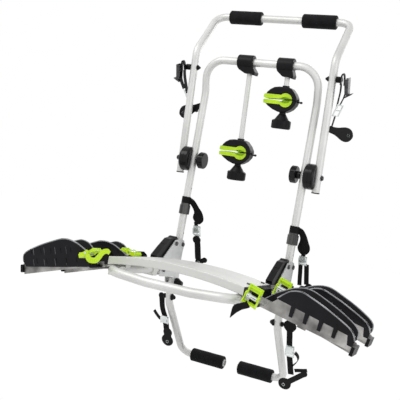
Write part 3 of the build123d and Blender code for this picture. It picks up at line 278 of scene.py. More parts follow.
def make_grain_group():
    """Clouds = noise at the cloud scale, steepened; grain = noise at the grain scale. The colour
    goes from dark to light with the clouds; the roughness and the normal go with the grain."""
    group, n, k, start, end = open_group(
        "grain_and_clouds", GRAIN_INPUTS,
        [("Color", COLOUR), ("Roughness", NUMBER), ("Normal", ARROW)])
    clouds, grain = n.new("ShaderNodeTexNoise"), n.new("ShaderNodeTexNoise")
    for texture, scale, detail in ((clouds, "Cloud Scale", 4.0), (grain, "Grain Scale", 2.0)):
        texture.inputs["Detail"].default_value = detail
        k.new(start.outputs["Coordinates"], texture.inputs["Vector"])
        k.new(start.outputs[scale], texture.inputs["Scale"])
    steep, rough = n.new("ShaderNodeMapRange"), n.new("ShaderNodeMapRange")
    steep.inputs["From Min"].default_value, steep.inputs["From Max"].default_value = CLOUD_EDGES
    k.new(clouds.outputs["Fac"], steep.inputs["Value"])
    k.new(grain.outputs["Fac"], rough.inputs["Value"])
    k.new(start.outputs["Rough Low"], rough.inputs["To Min"])
    k.new(start.outputs["Rough High"], rough.inputs["To Max"])
    colour = blended(n, k, steep.outputs["Result"], start.outputs["Dark"], start.outputs["Light"])
    k.new(colour, end.inputs["Color"])
    k.new(rough.outputs["Result"], end.inputs["Roughness"])
    normal = tilted(n, k, grain.outputs["Fac"], start.outputs["Grain Depth"], GRAIN_STEP)
    k.new(normal, end.inputs["Normal"])
    return group


grain_group = make_grain_group()
print("group", grain_group.name)

# %% The finishes
FINISHES = {  # light, dark, metallic, cloud scale, grain scale, grain depth, roughness
    "tube_silver": ((0.76, 0.76, 0.74), (0.64, 0.64, 0.62), 0.62, 6, 1400, 0.12, (0.46, 0.58)),
    "deck_silver": ((0.70, 0.70, 0.675), (0.62, 0.62, 0.60), 0.65, 5, 700, 0.15, (0.42, 0.54)),
    # trays: the dark clouds are painted reflection, a mottling that stands in for what the metal
    # mirrors
    "tray_silver_painted_reflection": ((0.56, 0.55, 0.53), (0.14, 0.135, 0.13), 0.80, 13, 900, 0.20, (0.34, 0.52)),
    "plate_silver": ((0.66, 0.67, 0.66), (0.56, 0.57, 0.56), 0.70, 14, 1000, 0.12, (0.40, 0.50)),
    "bright_zinc": ((0.80, 0.83, 0.82), (0.62, 0.66, 0.66), 0.9, 60, 1500, 0.15, (0.20, 0.34)),
    "dark_steel": ((0.09, 0.09, 0.095), (0.03, 0.03, 0.032), 0.6, 40, 1500, 0.15, (0.28, 0.44)),
    "black_plastic": ((0.007, 0.007, 0.008), (0.003, 0.003, 0.004), 0, 12, 1700, 0.25, (0.34, 0.5)),
    "gloss_black": ((0.005, 0.005, 0.006), (0.002, 0.002, 0.003), 0, 10, 1500, 0.08, (0.16, 0.24)),
    # collars: the grey and black upright streaks are painted reflection of a glossy black ring
    "collar_painted_reflection": ((0.11, 0.11, 0.105), (0.004, 0.004, 0.005), 0.2, 90, 1300, 0.10, (0.24, 0.34)),
    "wing_plastic": ((0.009, 0.008, 0.011), (0.003, 0.003, 0.004), 0, 9, 1500, 0.20, (0.32, 0.48)),
    # fine wing ribs: the grey is painted highlight on black plastic
    "wing_rib_painted_highlight": ((0.15, 0.15, 0.16), (0.03, 0.03, 0.035), 0, 30, 1500, 0.10, (0.26, 0.38)),
    # wing edges: the light grey is a painted highlight along the rolled rim
    "wing_edge_painted_highlight": ((0.42, 0.42, 0.43), (0.16, 0.16, 0.17), 0, 16, 1500, 0.10, (0.22, 0.34)),
    "foam_skin": ((0.008, 0.008, 0.009), (0.003, 0.003, 0.004), 0, 40, 1100, 0.8, (0.60, 0.85)),
    "lime_paint": ((0.62, 0.89, 0.012), (0.56, 0.83, 0.010), 0, 20, 900, 0.08, (0.30, 0.40)),
    "lime_rubber": ((0.58, 0.86, 0.012), (0.44, 0.70, 0.008), 0, 26, 1000, 0.4, (0.50, 0.68)),
}
SPECULAR = {"black_plastic": 0.16, "gloss_black": 0.22, "wing_plastic": 0.18, "wing_rib_painted_highlight": 0.3,
            "foam_skin": 0.16}
# The collars' upright streaks are painted reflection.
STRETCH = {"deck_silver": (0.06, 1, 1), "collar_painted_reflection": (1, 1, 0.03)}  # a small value makes streaks


def finish(name, light, dark, metal, cloud, grain, depth, rough):
    """A material whose colour, roughness and normal come from the grain group."""
    look, n, k, shader, group = new_look(name, grain_group, (*light, 1))
    source = n.new("ShaderNodeTexCoord").outputs["Object"]
    if name in STRETCH:
        mapping = n.new("ShaderNodeMapping")
        mapping.inputs["Scale"].default_value = STRETCH[name]
        k.new(source, mapping.inputs["Vector"])
        source = mapping.outputs["Vector"]
    k.new(source, group.inputs["Coordinates"])
    values = ((*light, 1), (*dark, 1), cloud, grain, depth, *rough)
    for (label, *_), value in zip(GRAIN_INPUTS[1:], values):
        group.inputs[label].default_value = value
    shader.inputs["Metallic"].default_value = metal
    if name in SPECULAR:
        shader.inputs["Specular IOR Level"].default_value = SPECULAR[name]
    return look


looks = {name: finish(name, *row) for name, row in FINISHES.items()}
print("finishes", len(looks))

# %% [markdown]
# ## Webbing
#
# Polyester webbing is a tight weave: fine ribs across the strap and yarns along it. A flat
# picture of it would need an image, so the weave is worked out from the strap's own UV map,
# whose first number goes round the strap and whose second is metres along it. Two sine waves
# at right angles give the yarns' height, and the hollows between them are darker: that is
# painted shade.

# %% The weave group
YARN_STEP = 0.0003


def make_weave_group():
    """Height = |sin(pi v / pitch)| * |sin(yarns pi u)|; colour goes from the hollows' painted
    shade to the yarn with the height, and the normal tilts with it."""
    group, n, k, start, end = open_group(
        "woven_strap",
        [("UV", ARROW, None), ("Yarn", COLOUR, (0.02, 0.02, 0.02, 1)),
         ("Hollow Shade", COLOUR, (0, 0, 0, 1)), ("Pitch", NUMBER, 0.0018), ("Yarns", NUMBER, 36.0),
         ("Depth", NUMBER, 0.5)],
        [("Color", COLOUR), ("Normal", ARROW)])
    split = n.new("ShaderNodeSeparateXYZ")
    k.new(start.outputs["UV"], split.inputs["Vector"])

    def wave(value, operation, amount):
        """|sin(pi * (value operation amount))|"""
        scaled, angle, sine, size = (n.new("ShaderNodeMath") for _ in range(4))
        scaled.operation, angle.operation = operation, "MULTIPLY"
        sine.operation, size.operation = "SINE", "ABSOLUTE"
        angle.inputs[1].default_value = math.pi
        k.new(value, scaled.inputs[0])
        k.new(amount, scaled.inputs[1])
        k.new(scaled.outputs[0], angle.inputs[0])
        k.new(angle.outputs[0], sine.inputs[0])
        k.new(sine.outputs[0], size.inputs[0])
        return size.outputs[0]

    height = n.new("ShaderNodeMath")
    height.operation = "MULTIPLY"
    k.new(wave(split.outputs["Y"], "DIVIDE", start.outputs["Pitch"]), height.inputs[0])
    k.new(wave(split.outputs["X"], "MULTIPLY", start.outputs["Yarns"]), height.inputs[1])
    colour = blended(n, k, height.outputs[0], start.outputs["Hollow Shade"], start.outputs["Yarn"])
    k.new(colour, end.inputs["Color"])
    k.new(tilted(n, k, height.outputs[0], start.outputs["Depth"], YARN_STEP), end.inputs["Normal"])
    return group


weave_group = make_weave_group()
print("group", weave_group.name)

# %% The strap finish
STRAP_UV = "along"
# The hollow colour is painted shade: it darkens the weave's hollows.
WEAVE = {"Yarn": (0.01, 0.009, 0.01, 1), "Hollow Shade": (0.002, 0.002, 0.002, 1)}
CLOTH = {"Roughness": 0.72, "Specular IOR Level": 0.16, "Sheen Weight": 0.03,
         "Sheen Roughness": 0.45}

looks["strap_black"], n, k, shader, group = new_look("strap_black", weave_group, WEAVE["Yarn"])
where = n.new("ShaderNodeUVMap")
where.uv_map = STRAP_UV
k.new(where.outputs["UV"], group.inputs["UV"])
for label, value in WEAVE.items():
    group.inputs[label].default_value = value
for label, value in CLOTH.items():
    shader.inputs[label].default_value = value
print("finishes", len(looks))

# %% [markdown]
# ## Finishes for the CAD pieces
#
# The rigid pieces keep their CAD shapes, and only their material slots are filled. A dictionary
# from finish to pieces reads like a parts list.

# %% Fill the slots
SIDES = {"left": -1, "right": 1}
TRAYS = [(where, side) for where in ("near", "far") for side in SIDES]
DRESSED = {
    "tube_silver": ["inner_arch", "outer_arch", "platform_tube"]
    + [f"{part}_{side}" for side in SIDES for part in ("holder_arm", "lower_arm")],
    "deck_silver": ["deck_beam", "platform_fittings"],
    # the trays' dark clouds are painted reflection
    "tray_silver_painted_reflection": [f"tray_{where}_{side}" for where, side in TRAYS],
    "plate_silver": [f"hinge_bracket_{side}" for side in SIDES],
    "bright_zinc": ["buckle_spools"],
    "dark_steel": ["ratchet_bolts", "platform_bolts"],
    # painted reflection: streaks on the collars
    "collar_painted_reflection": [f"collar_{side}" for side in SIDES],
    "gloss_black": ["ratchet_inner_discs", "outer_arch_fittings"]
    + [f"joint_knob_{side}" for side in SIDES],
    "black_plastic": ["platform_end_caps"] + [f"{part}_{side}" for side in SIDES for part in (
        "fold_lever", "lower_knob", "holder_clamp", "claw_upper", "claw_lower", "star_knob")],
    "wing_plastic": [f"cradle_{where}_{side}" for where, side in TRAYS],
    "lime_paint": ["buckle_frames"] + [f"buckle_lever_{where}_{side}" for where, side in TRAYS],
    "lime_rubber": [f"claw_liner_{half}_{side}" for half in ("upper", "lower") for side in SIDES],
}
for look_name, names in DRESSED.items():
    for name in names:
        for place in nodes[name].material_slots:
            place.material = looks[look_name]
print("dressed", sum(len(names) for names in DRESSED.values()), "of", len(nodes))

# %% [markdown]
# ## Surfaces from numpy
#
# Every new piece is a grid of points worked out from two parameters: one runs along the piece
# and one runs round its section. A strap's section is a rounded flat shape, a pad's or a knob's
# is a circle. The ends close on their own middle, so that each piece is a sealed skin.

# %% Grid to mesh
MM = 0.001
PIVOT = np.array([0.0, -0.217, 0.442])  # the main pivots' midpoint in the carrier's frame
CREASE = math.radians(50)  # a sharper edge than this isn't shaded smooth


def grid_mesh(name, grids):
    """A mesh from (rows, columns, 3) grids whose columns close on themselves. Face (i, j) joins
    the points (i, j), (i+1, j), (i+1, j+1) and (i, j+1). A row that shrinks to a point closes an
    end."""
    points, faces, uvs, start = [], [], [], 0
    for grid in grids:
        rows, columns = grid.shape[:2]
        i, j = np.meshgrid(np.arange(rows - 1), np.arange(columns), indexing="ij")
        after = (j + 1) % columns
        quads = np.stack([i * columns + j, (i + 1) * columns + j, (i + 1) * columns + after,
                          i * columns + after], axis=-1).reshape(-1, 4)
        steps = np.linalg.norm(np.diff(grid.mean(axis=1), axis=0), axis=1)
        along = np.concatenate([[0.0], np.cumsum(steps)])
        across = np.linspace(0.0, 1.0, columns + 1)
        corner_u = np.stack([across[j], across[j], across[j + 1], across[j + 1]], axis=-1)
        corner_v = np.stack([along[i], along[i + 1], along[i + 1], along[i]], axis=-1)
        points.append(grid.reshape(-1, 3))
        faces.append(quads + start)
        uvs.append(np.stack([corner_u, corner_v], axis=-1).reshape(-1, 2))
        start += rows * columns
    mesh = bpy.data.meshes.new(name)
    mesh.from_pydata(np.concatenate(points), [], np.concatenate(faces).tolist())
    layer = mesh.uv_layers.new(name=STRAP_UV)
    layer.data.foreach_set("uv", np.concatenate(uvs).ravel())
    mesh.polygons.foreach_set("use_smooth", np.ones(len(mesh.polygons), bool))
    return mesh


def piece(name, grids, look, body, slot, *replaced):
    """Puts grids into the scene as one piece that rides on a body, with faces turned outwards."""
    mesh = grid_mesh(name, grids)
    work = bmesh.new()
    work.from_mesh(mesh)
    bmesh.ops.remove_doubles(work, verts=work.verts, dist=1e-7)
    bmesh.ops.dissolve_degenerate(work, edges=work.edges, dist=1e-8)
    bmesh.ops.recalc_face_normals(work, faces=work.faces)
    work.to_mesh(mesh)
    work.free()
    mesh.set_sharp_from_angle(angle=CREASE)
    mesh.materials.append(looks[look])
    item = placed(name, mesh)
    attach(item, body)
    if replaced:
        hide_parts(*replaced)
    print(name, len(mesh.polygons), "faces")
    return item


# %% [markdown]
# ## Profiles and sections
#
# A smooth line through chosen points is a Catmull-Rom spline: on each stretch it blends four
# neighbouring points with cubic weights. A flat band is that line with a section carried along
# it. The section is a superellipse, |x/a|^p + |y/b|^p = 1. With p = 2 it is a round, and with
# p = 4 it is nearly a rounded rectangle.


# %% Lines and bands
def smooth(points, steps):
    """Catmull-Rom values through the rows of points; every column is interpolated the same way."""
    rows = np.asarray(points, float)
    ends = np.vstack([2 * rows[0] - rows[1], rows, 2 * rows[-1] - rows[-2]])
    t = np.linspace(0.0, 1.0, steps, endpoint=False)[None, :, None]
    a, b, c, d = (ends[k:len(ends) - 3 + k, None, :] for k in range(4))
    cubic = 0.5 * (2 * b + (c - a) * t + (2 * a - 5 * b + 4 * c - d) * t ** 2
                   + (3 * b - a - 3 * c + d) * t ** 3)
    return np.vstack([cubic.reshape(-1, rows.shape[1]), rows[-1]])


def unit(vectors):
    """Each vector divided by its own length."""
    return vectors / np.maximum(np.linalg.norm(vectors, axis=-1, keepdims=True), 1e-12)


def band(line, flat_way, half_width, half_thick, power=4.0, count=28):
    """Grid of a flat band: at each place on the line, the section point at angle a is
    width * sgn(cos a)|cos a|^(2/p) sideways and thickness * sgn(sin a)|sin a|^(2/p) across it."""
    ahead = unit(np.gradient(line, axis=0))
    across = unit(np.cross(ahead, np.broadcast_to(flat_way, line.shape)))
    thick_way = unit(np.cross(across, ahead))
    angle = np.linspace(0.0, 2 * np.pi, count, endpoint=False)[None, :, None]
    side, up = (np.sign(v) * np.abs(v) ** (2 / power) for v in (np.cos(angle), np.sin(angle)))
    a, b = (np.broadcast_to(v, len(line))[:, None, None] for v in (half_width, half_thick))
    body = line[:, None] + a * side * across[:, None] + b * up * thick_way[:, None]
    first = np.repeat(line[:1, None], count, axis=1)
    last = np.repeat(line[-1:, None], count, axis=1)
    return np.concatenate([first, body, last])


def lathe(origin, axis, profile, count):
    """Grid of a turned piece: profile rows are (distance along the axis, radius)."""
    axis = unit(np.asarray(axis, float))
    side = unit(np.cross(axis, [0.31, 0.17, 0.93]))  # any direction off the axis would do
    other = np.cross(axis, side)
    angle = np.linspace(0.0, 2 * np.pi, count, endpoint=False)
    ring = np.cos(angle)[:, None] * side + np.sin(angle)[:, None] * other
    profile = np.asarray(profile, float)
    return np.asarray(origin) + profile[:, :1, None] * axis + profile[:, 1:, None] * ring[None]


def lathe_rows(rows, sign=1):
    """A lathe profile in metres from millimetre rows; a sign of -1 points it the other way."""
    return np.array(rows) * MM * [sign, 1]


print("grid helpers ready")

# %% [markdown]
# ## Foam sleeves
#
# A sleeve is a closed ring section turned about its tube: out along the skin with rounded
# shoulders, and back along the bore. Real foam is never quite straight, so the radius also has
# a slow wave of a few tenths of a millimetre along the sleeve and round it.

# %% Pads
PAD_R = 26.0 * MM
PAD_BORE = 14.1 * MM
PAD_SHOULDER = 4.5 * MM
PAD_WAVE = 0.35 * MM
TOP_PAD_IN = 83.0 * MM
TOP_PAD_OUT = 213.0 * MM


def sleeve(start, end, y, z, phase):
    """Skin radius = R - |wave * sin(3 a + phase) * sin(7 share)|, with a quarter circle at each
    end, where a is the angle round the sleeve and share goes from 0 to 1 along it."""
    length = end - start
    corner = np.linspace(0.0, np.pi / 2, 7)
    first = np.stack([PAD_SHOULDER * (1 - np.cos(corner)),
                      PAD_R - PAD_SHOULDER * (1 - np.sin(corner))], axis=-1)
    straight = np.linspace(PAD_SHOULDER, length - PAD_SHOULDER, 24)[1:-1]
    run = np.stack([straight, np.full(len(straight), PAD_R)], axis=-1)
    last = first[::-1] * [-1, 1] + [length, 0]
    bore = np.array([[length, PAD_BORE], [length * 0.5, PAD_BORE], [0.0, PAD_BORE]])
    profile = np.vstack([[[0.0, PAD_BORE]], first, run, last, bore])
    grid = lathe((start, y, z), (1, 0, 0), profile, 64)
    spoke = grid - np.array([0.0, y, z])
    spoke[..., 0] = 0.0
    reach = np.linalg.norm(spoke, axis=-1, keepdims=True)
    angle = np.arctan2(spoke[..., 2:], spoke[..., 1:2])
    skin = np.clip((reach - PAD_BORE) / (PAD_R - PAD_BORE), 0.0, 1.0)
    wave = PAD_WAVE * np.sin(3 * angle + phase) * np.sin(7.0 * (grid[..., :1] - start) / length)
    return grid - unit(spoke) * skin * np.abs(wave)


def bar_line(low, high):
    """The middle of a box in Y and Z, where the tube under its foam runs."""
    return (low.y + high.y) / 2, (low.z + high.z) / 2


top_bar = bar_line(*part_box("top_pads"))
top_foam = piece("top_pad_foam", [sleeve(TOP_PAD_IN, TOP_PAD_OUT, *top_bar, 0.4),
                                  sleeve(-TOP_PAD_OUT, -TOP_PAD_IN, *top_bar, 2.1)],
                 "foam_skin", "outer_frame", "foam", "top_pads")
for side in SIDES:
    low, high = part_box(f"lower_pad_{side}")
    grid = sleeve(low.x, high.x, *bar_line(low, high), 1.2)
    foam = piece(f"lower_pad_foam_{side}", [grid], "foam_skin", f"lower_arm_{side}", "foam",
                 f"lower_pad_{side}")

# %% [markdown]
# ## Hanging straps
#
# Each tailgate strap hangs from a point on its leg, in a plane that holds the sideways
# direction and the direction of fall. The carrier leans in the picture, so the straps fall
# 23.6 degrees off its own vertical. A place on a strap is written in millimetres as sideways,
# down, and half the width there.

# %% The hanging plane
HANG = math.radians(23.6)
ACROSS = np.array([1.0, 0.0, 0.0])
DOWN = np.array([0.0, math.sin(HANG), -math.cos(HANG)])
OUT = np.array([0.0, math.cos(HANG), math.sin(HANG)])
LEG_X = 0.220
OUTER_X = 0.270
TUBE_R = 0.014
WEB_THICK = 2.0  # mm
SLACK = 0.5  # how far a straight run waves out of its plane, in mm
WAIST = 0.86  # a hook's waist as a share of its smaller end


def hung(anchor, sideways, down, out=0.0):
    """Anchor + sideways along X + down along the fall + out of the plane, from millimetres."""
    sideways, down, out = (np.asarray(v, float)[..., None] * MM for v in (sideways, down, out))
    return np.asarray(anchor) + sideways * ACROSS + down * DOWN + out * OUT


def flat_band(anchor, places, thick):
    """A band that lies in the hanging plane; its half width follows the third number."""
    rows = smooth(places, 8)
    line = hung(anchor, rows[:, 0], rows[:, 1])
    return band(line, OUT, np.maximum(rows[:, 2], 0.2) * MM, thick / 2 * MM)


def strip(anchor, x0, s0, x1, s1, width):
    """A straight run of webbing with a slight slack wave out of its plane."""
    t = np.linspace(0.0, 1.0, 14)
    away = SLACK * np.sin(2 * np.pi * t)
    line = hung(anchor, x0 + (x1 - x0) * t, s0 + (s1 - s0) * t, away)
    return band(line, OUT, width / 2 * MM, WEB_THICK / 2 * MM)


def edge_band(anchor, places, width, thick=WEB_THICK):
    """A loop of webbing that stands on its edge, its width out of the hanging plane."""
    rows = smooth(places, 8)
    line = hung(anchor, rows[:, 0], rows[:, 1])
    ahead = unit(np.gradient(line, axis=0))
    return band(line, np.cross(ahead, OUT), width / 2 * MM, thick / 2 * MM)


def paddle(anchor, x0, s0, r0, x1, s1, r1, thick=4.0):
    """Flat hook: half width is a circle's at both ends and a narrow waist between them."""
    length = math.hypot(x1 - x0, s1 - s0)
    turn, between = np.linspace(0, np.pi / 2, 9), np.linspace(0, length, 13)[1:-1]
    t = np.concatenate([-np.cos(turn) * r0, between, length + np.sin(turn) * r1])
    head = np.sqrt(np.clip(r0 ** 2 - t ** 2, 0, None))
    tail = np.sqrt(np.clip(r1 ** 2 - (t - length) ** 2, 0, None))
    waist = np.where((t >= 0) & (t <= length), min(r0, r1) * WAIST, 0.0)
    half = np.maximum(np.maximum(head, tail), np.maximum(waist, 0.3))
    ux, us = (x1 - x0) / length, (s1 - s0) / length
    line = hung(anchor, x0 + ux * t, s0 + us * t)
    return band(line, OUT, half * MM, thick / 2 * MM, 5.0)


print("fall direction", DOWN.round(3))

# %% Buckles, eyelets and bolts
SQUARE = 6.0  # the superellipse power of pressed metal
RAIL, RAIL_OUT = 2.0, (-4.1, -1.1)  # mm: half a width, and places out of the strap
CROSS, CROSS_OUT, CROSS_SHARES = 2.6, (-4.0, -1.2), (0.07, 0.5, 0.92)
CHEEK, CHEEK_OUT, CHEEK_REACH = 1.2, (-12.8, -3.0), 12.0
ROLLER_R, ROLLER_OUT = 4.4, -8.0
PLATE_FROM, PLATE_LENGTH, PLATE_OUT, PLATE_RISE, PLATE_BEND = -20.0, 25.0, -9.5, 5.5, 1.4
PLATE_INSET, PLATE_HALF_THICK = 3.2, 1.2
BLOCK_END, BLOCK_SHOULDER = 0.82, 0.06  # an end's size, and its taper's share of a step
EYELET = (5.2, 1.3, 2.47)  # mm: the ring's radius, half its thickness and half its height


def block_grid(anchor, x, s, out):
    """A rounded block in the hanging frame: a superellipse section carried along the fall, which
    is a little smaller at both ends."""
    across, away = (x[0] + x[1]) / 2, (out[0] + out[1]) / 2
    line = hung(anchor, np.full(6, across), np.linspace(s[0], s[1], 6), away)
    shrink = np.array([BLOCK_END, 1.0, 1.0, 1.0, 1.0, BLOCK_END])
    line[1] = line[0] + (line[1] - line[0]) * BLOCK_SHOULDER
    line[4] = line[5] - (line[5] - line[4]) * BLOCK_SHOULDER
    half_width, half_thick = (x[1] - x[0]) / 2 * MM * shrink, (out[1] - out[0]) / 2 * MM * shrink
    return band(line, OUT, half_width, half_thick, SQUARE, 24)


def cam_buckle(anchor, x, s0, s1, width):
    """Pressed buckle: two rails, three cross bars, a roller between cheeks and a thumb plate that
    rises outwards as sin(bend * share of its length)."""
    half, length, middle = width / 2, s1 - s0, (s0 + s1) / 2
    rails = [x + k * (half - RAIL) for k in (-1, 1)]
    bars = [s0 + length * share for share in CROSS_SHARES]
    cheeks = [x + k * (half - CHEEK) for k in (-1, 1)]
    rung, span = (x - half + 1, x + half - 1), (middle - CHEEK_REACH, middle + CHEEK_REACH)
    grids = [block_grid(anchor, (at - RAIL, at + RAIL), (s0, s1), RAIL_OUT) for at in rails]
    grids += [block_grid(anchor, rung, (at - CROSS, at + CROSS), CROSS_OUT) for at in bars]
    grids += [block_grid(anchor, (at - CHEEK, at + CHEEK), span, CHEEK_OUT) for at in cheeks]
    roller = lathe_rows([(0, 0), (0, ROLLER_R), (width, ROLLER_R), (width, 0)])
    grids.append(lathe(hung(anchor, x - half, middle, ROLLER_OUT), ACROSS, roller, 24))
    share = np.linspace(0.0, 1.0, 10)
    away = PLATE_OUT - PLATE_RISE * np.sin(share * PLATE_BEND)
    plate = hung(anchor, np.full(10, x), middle + PLATE_FROM + PLATE_LENGTH * share, away)
    grids.append(band(plate, OUT, (half - PLATE_INSET) * MM, PLATE_HALF_THICK * MM))
    return grids


def metal_ring(centre, u, v, away, sizes, count):
    """A small ring round a hook's hole: at angle a round the hole and b round the section, it is
    radius + thick * cos b from the centre along u cos a + v sin a, and tall * sin b away."""
    radius, thick, tall = sizes
    a = np.linspace(0, 2 * np.pi, 28, endpoint=False)[None, :, None]
    b = np.linspace(0, 2 * np.pi, count)[:, None, None]
    spoke = np.cos(a) * u + np.sin(a) * v
    return centre + spoke * (radius + thick * np.cos(b)) * MM + away * tall * np.sin(b) * MM


def cross_bolt(x, sign, y, z, inner, outer):
    """A bolt through a leg along X: its turned inner end and its turned outer end."""
    return [lathe((sign * (x - TUBE_R), y, z), ACROSS, lathe_rows(inner, -sign), 32),
            lathe((sign * (x + TUBE_R), y, z), ACROSS, lathe_rows(outer, sign), 32)]


# %% [markdown]
# ## Middle straps
#
# The band round the leg turns down in a wide swoop and runs over into a teardrop pad. A silver
# cam buckle hangs under it, then the webbing and a flat hook. The sides hang differently, so
# each has a table. A run in it is its two ends and its width, a buckle is its place across,
# its two ends and its width, and a hook is the place and radius of its two round ends.

# %% Middle straps
MIDDLE = {
    "right": dict(
        swoop=[(15, 0, 12), (24, 4, 12.5), (31.5, 14, 12), (36, 27, 13.5), (38, 42, 17),
               (38.5, 56, 22), (38, 68, 23), (38, 80, 18.5), (38, 88, 10), (38, 91.5, 2)],
        runs=[(38, 84, 38, 100, 16), (30, 128, 30, 214, 16), (52, 126, 56, 206, 18)],
        buckle=(39, 94, 130, 30), hook=(44, 232, 18, 66, 212, 12), eye=(42, 235)),
    "left": dict(
        swoop=[(15, 0, 12), (25, 5, 12.5), (35, 17, 12.5), (44, 32, 13.5), (50, 46, 18),
               (51, 60, 22), (50, 72, 22), (48, 83, 15), (46, 90, 7), (46, 93, 2)],
        runs=[(40, 84, 43, 104, 16), (47, 134, 47, 150, 16), (47, 166, 50, 240, 26)],
        end=(44, 150, 10, 44, 158, 17, 3.6),
        buckle=(47, 97, 140, 30), hook=(54, 250, 16, 78, 238, 11), eye=(52, 252)),
}
LEG_BAND_HEIGHT = 25.0


def leg_band(x, y, z):
    """Webbing ring round a leg, between 14.6 and 17.2 mm from its axis."""
    wall = [(-0.5, 14.6), (-0.5, 17.2), (0.5, 17.2), (0.5, 14.6), (-0.5, 14.6)]
    return lathe((x, y, z), (0, 0, 1), np.array(wall) * [LEG_BAND_HEIGHT * MM, MM], 48)


def strap_pieces(strap, side, body, rows):
    """A piece for each row: a word, its grids, look and slot, and any CAD node it replaces."""
    for word, grids, look, slot, *replaced in rows:
        piece(f"{strap}_{word}_{side}", grids, look, body, slot, *replaced)


def fittings(place, part):
    """Rows for the silver cam buckle, the flat hook and the hook's eyelet of one strap."""
    ring = metal_ring(hung(place, *part["eye"]), ACROSS, DOWN, OUT, EYELET, 11)
    return [("buckle", cam_buckle(place, *part["buckle"]), "bright_zinc", "steel"),
            ("hook", [paddle(place, *part["hook"])], "black_plastic", "plastic"),
            ("eyelet", [ring], "bright_zinc", "steel")]


for side, sign in SIDES.items():
    part = MIDDLE[side]
    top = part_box(f"collar_{side}")[1].z
    place = np.array([sign * LEG_X, PIVOT[1], top + LEG_BAND_HEIGHT / 2 * MM])
    grids = [leg_band(*place), flat_band(place, part["swoop"], 3.6)]
    grids += [strip(place, *run) for run in part["runs"]]
    if "end" in part:
        grids.append(paddle(place, *part["end"]))
    webbing = ("webbing", grids, "strap_black", "webbing", f"mid_strap_{side}")
    strap_pieces("mid_strap", side, f"collar_{side}", [webbing, *fittings(place, part)])

# %% [markdown]
# ## Lower straps
#
# They start on a bolt through the lower arm, just under the bracket. The right one has a wide
# pad at its bolt and a paddle-shaped hook; the left one ends in a rounded pad. A loose end bows
# out beside each.

# %% Lower straps
ARM_BOLT_Z = PIVOT[2] - 0.204
LOWER = {
    "right": dict(
        pad=[(46, -23, 2), (46, -19, 14), (46, -8, 22.5), (46, 4, 23.5), (46, 14, 18),
             (46, 23, 10)],
        runs=[(46, 20, 48, 78, 22), (50, 121, 59, 196, 22), (72, 176, 118, 162, 14)],
        bow=([(69.8, 102), (80, 112), (83, 128), (72, 148), (61, 160)], 20),
        buckle=(52, 76, 123, 32), hook=(37, 243, 24, 108, 180, 12), eye=(33, 247)),
    "left": dict(
        pad=[(-31, -9, 2), (-31, -6, 9), (-31, 4, 12.8), (-30, 14, 11.5), (-30, 30, 11),
             (-29, 52, 11), (-25, 72, 11), (-18, 92, 11)],
        runs=[(-16, 118, -12, 150, 26)],
        bow=([(-34.3, 109), (-44, 103), (-56, 90), (-66, 76)], 16),
        buckle=(-17, 90, 120, 32), hook=(-10, 196, 25, -8, 160, 19), eye=(-10, 202)),
}
ARM_BOLT_CONE = [(0, 0), (0, 13), (1.5, 12.6), (13, 5.6), (14, 4), (14, 0)]
ARM_BOLT_BOSS = [(0, 0), (0, 9), (5.6, 9), (7, 7.8), (7, 4), (8, 4), (8, 0)]
for side, sign in SIDES.items():
    part = LOWER[side]
    place = np.array([sign * LEG_X, PIVOT[1], ARM_BOLT_Z])
    grids = [flat_band(place, part["pad"], 4.6)]
    grids += [strip(place, *run) for run in part["runs"]]
    grids.append(edge_band(place, *part["bow"]))
    webbing = ("webbing", grids, "strap_black", "webbing", f"lower_strap_{side}")
    ends = cross_bolt(LEG_X, sign, PIVOT[1], ARM_BOLT_Z, ARM_BOLT_CONE, ARM_BOLT_BOSS)
    strap_pieces("lower_strap", side, f"lower_arm_{side}", [
        webbing, *fittings(place, part), ("bolt", ends, "black_plastic", "plastic")])

# %% [markdown]
# ## Upper straps
#
# A bolt through the outer leg carries a hook, which holds a black ratchet housing. Webbing runs
# from it to a silver three-bar buckle, and from there to a flat hook with a round end. On the
# right this hook swings outwards; on the left it passes behind the leg and shows on both sides.


# %% Slabs and bars
SLAB_FACE, SLAB_EDGE = 0.96, 0.9  # a face's size, and how deep its rounded edge is in mm
RAIL_AT, RAIL_REACH = 13, 23  # a three-bar buckle's rails: mm from its middle, half a length
RUNG_AT, RUNG_REACH = (-20.5, 0, 20.5), 14  # the same for its bars


def slab(anchor, outline, out):
    """A plate from an outline that its centre can see all of. Its rings are the outline just
    inside both faces, a slightly smaller outline on each face, and the centre at each end."""
    rim = np.asarray(outline, float)
    centre = rim.mean(axis=0)
    rows = []
    for share, height in ((0.0, out[0]), (SLAB_FACE, out[0]), (1.0, out[0] + SLAB_EDGE),
                          (1.0, out[1] - SLAB_EDGE), (SLAB_FACE, out[1]), (0.0, out[1])):
        ring = centre + share * (rim - centre)
        rows.append(hung(anchor, ring[:, 0], ring[:, 1], height))
    return np.stack(rows)


def bar(start, end, flat_way, half_width, half_thick):
    """A straight rounded bar between two points."""
    t = np.linspace(0.0, 1.0, 4)[:, None]
    return band(start + (end - start) * t, flat_way, half_width * MM, half_thick * MM, 4.0, 16)


def three_bar(anchor, x, s, lean, turn, sign):
    """Two rails and three bars in a plane that leans sideways and turns about its own length."""
    lean, turn = math.radians(lean), math.radians(turn)
    length = sign * math.sin(lean) * ACROSS - math.cos(lean) * DOWN
    side = sign * math.cos(lean) * ACROSS + math.sin(lean) * DOWN
    width = math.cos(turn) * OUT + math.sin(turn) * side
    face = np.cross(length, width)
    middle = hung(anchor, sign * x, s)
    grids = []
    for k in (-1, 1):
        rail, reach = middle + k * RAIL_AT * MM * width, RAIL_REACH * MM * length
        grids.append(bar(rail - reach, rail + reach, face, 2.4, 1.8))
    for t in RUNG_AT:
        rung, reach = middle + t * MM * length, RUNG_REACH * MM * width
        grids.append(bar(rung - reach, rung + reach, face, 2.6, 1.8))
    return grids


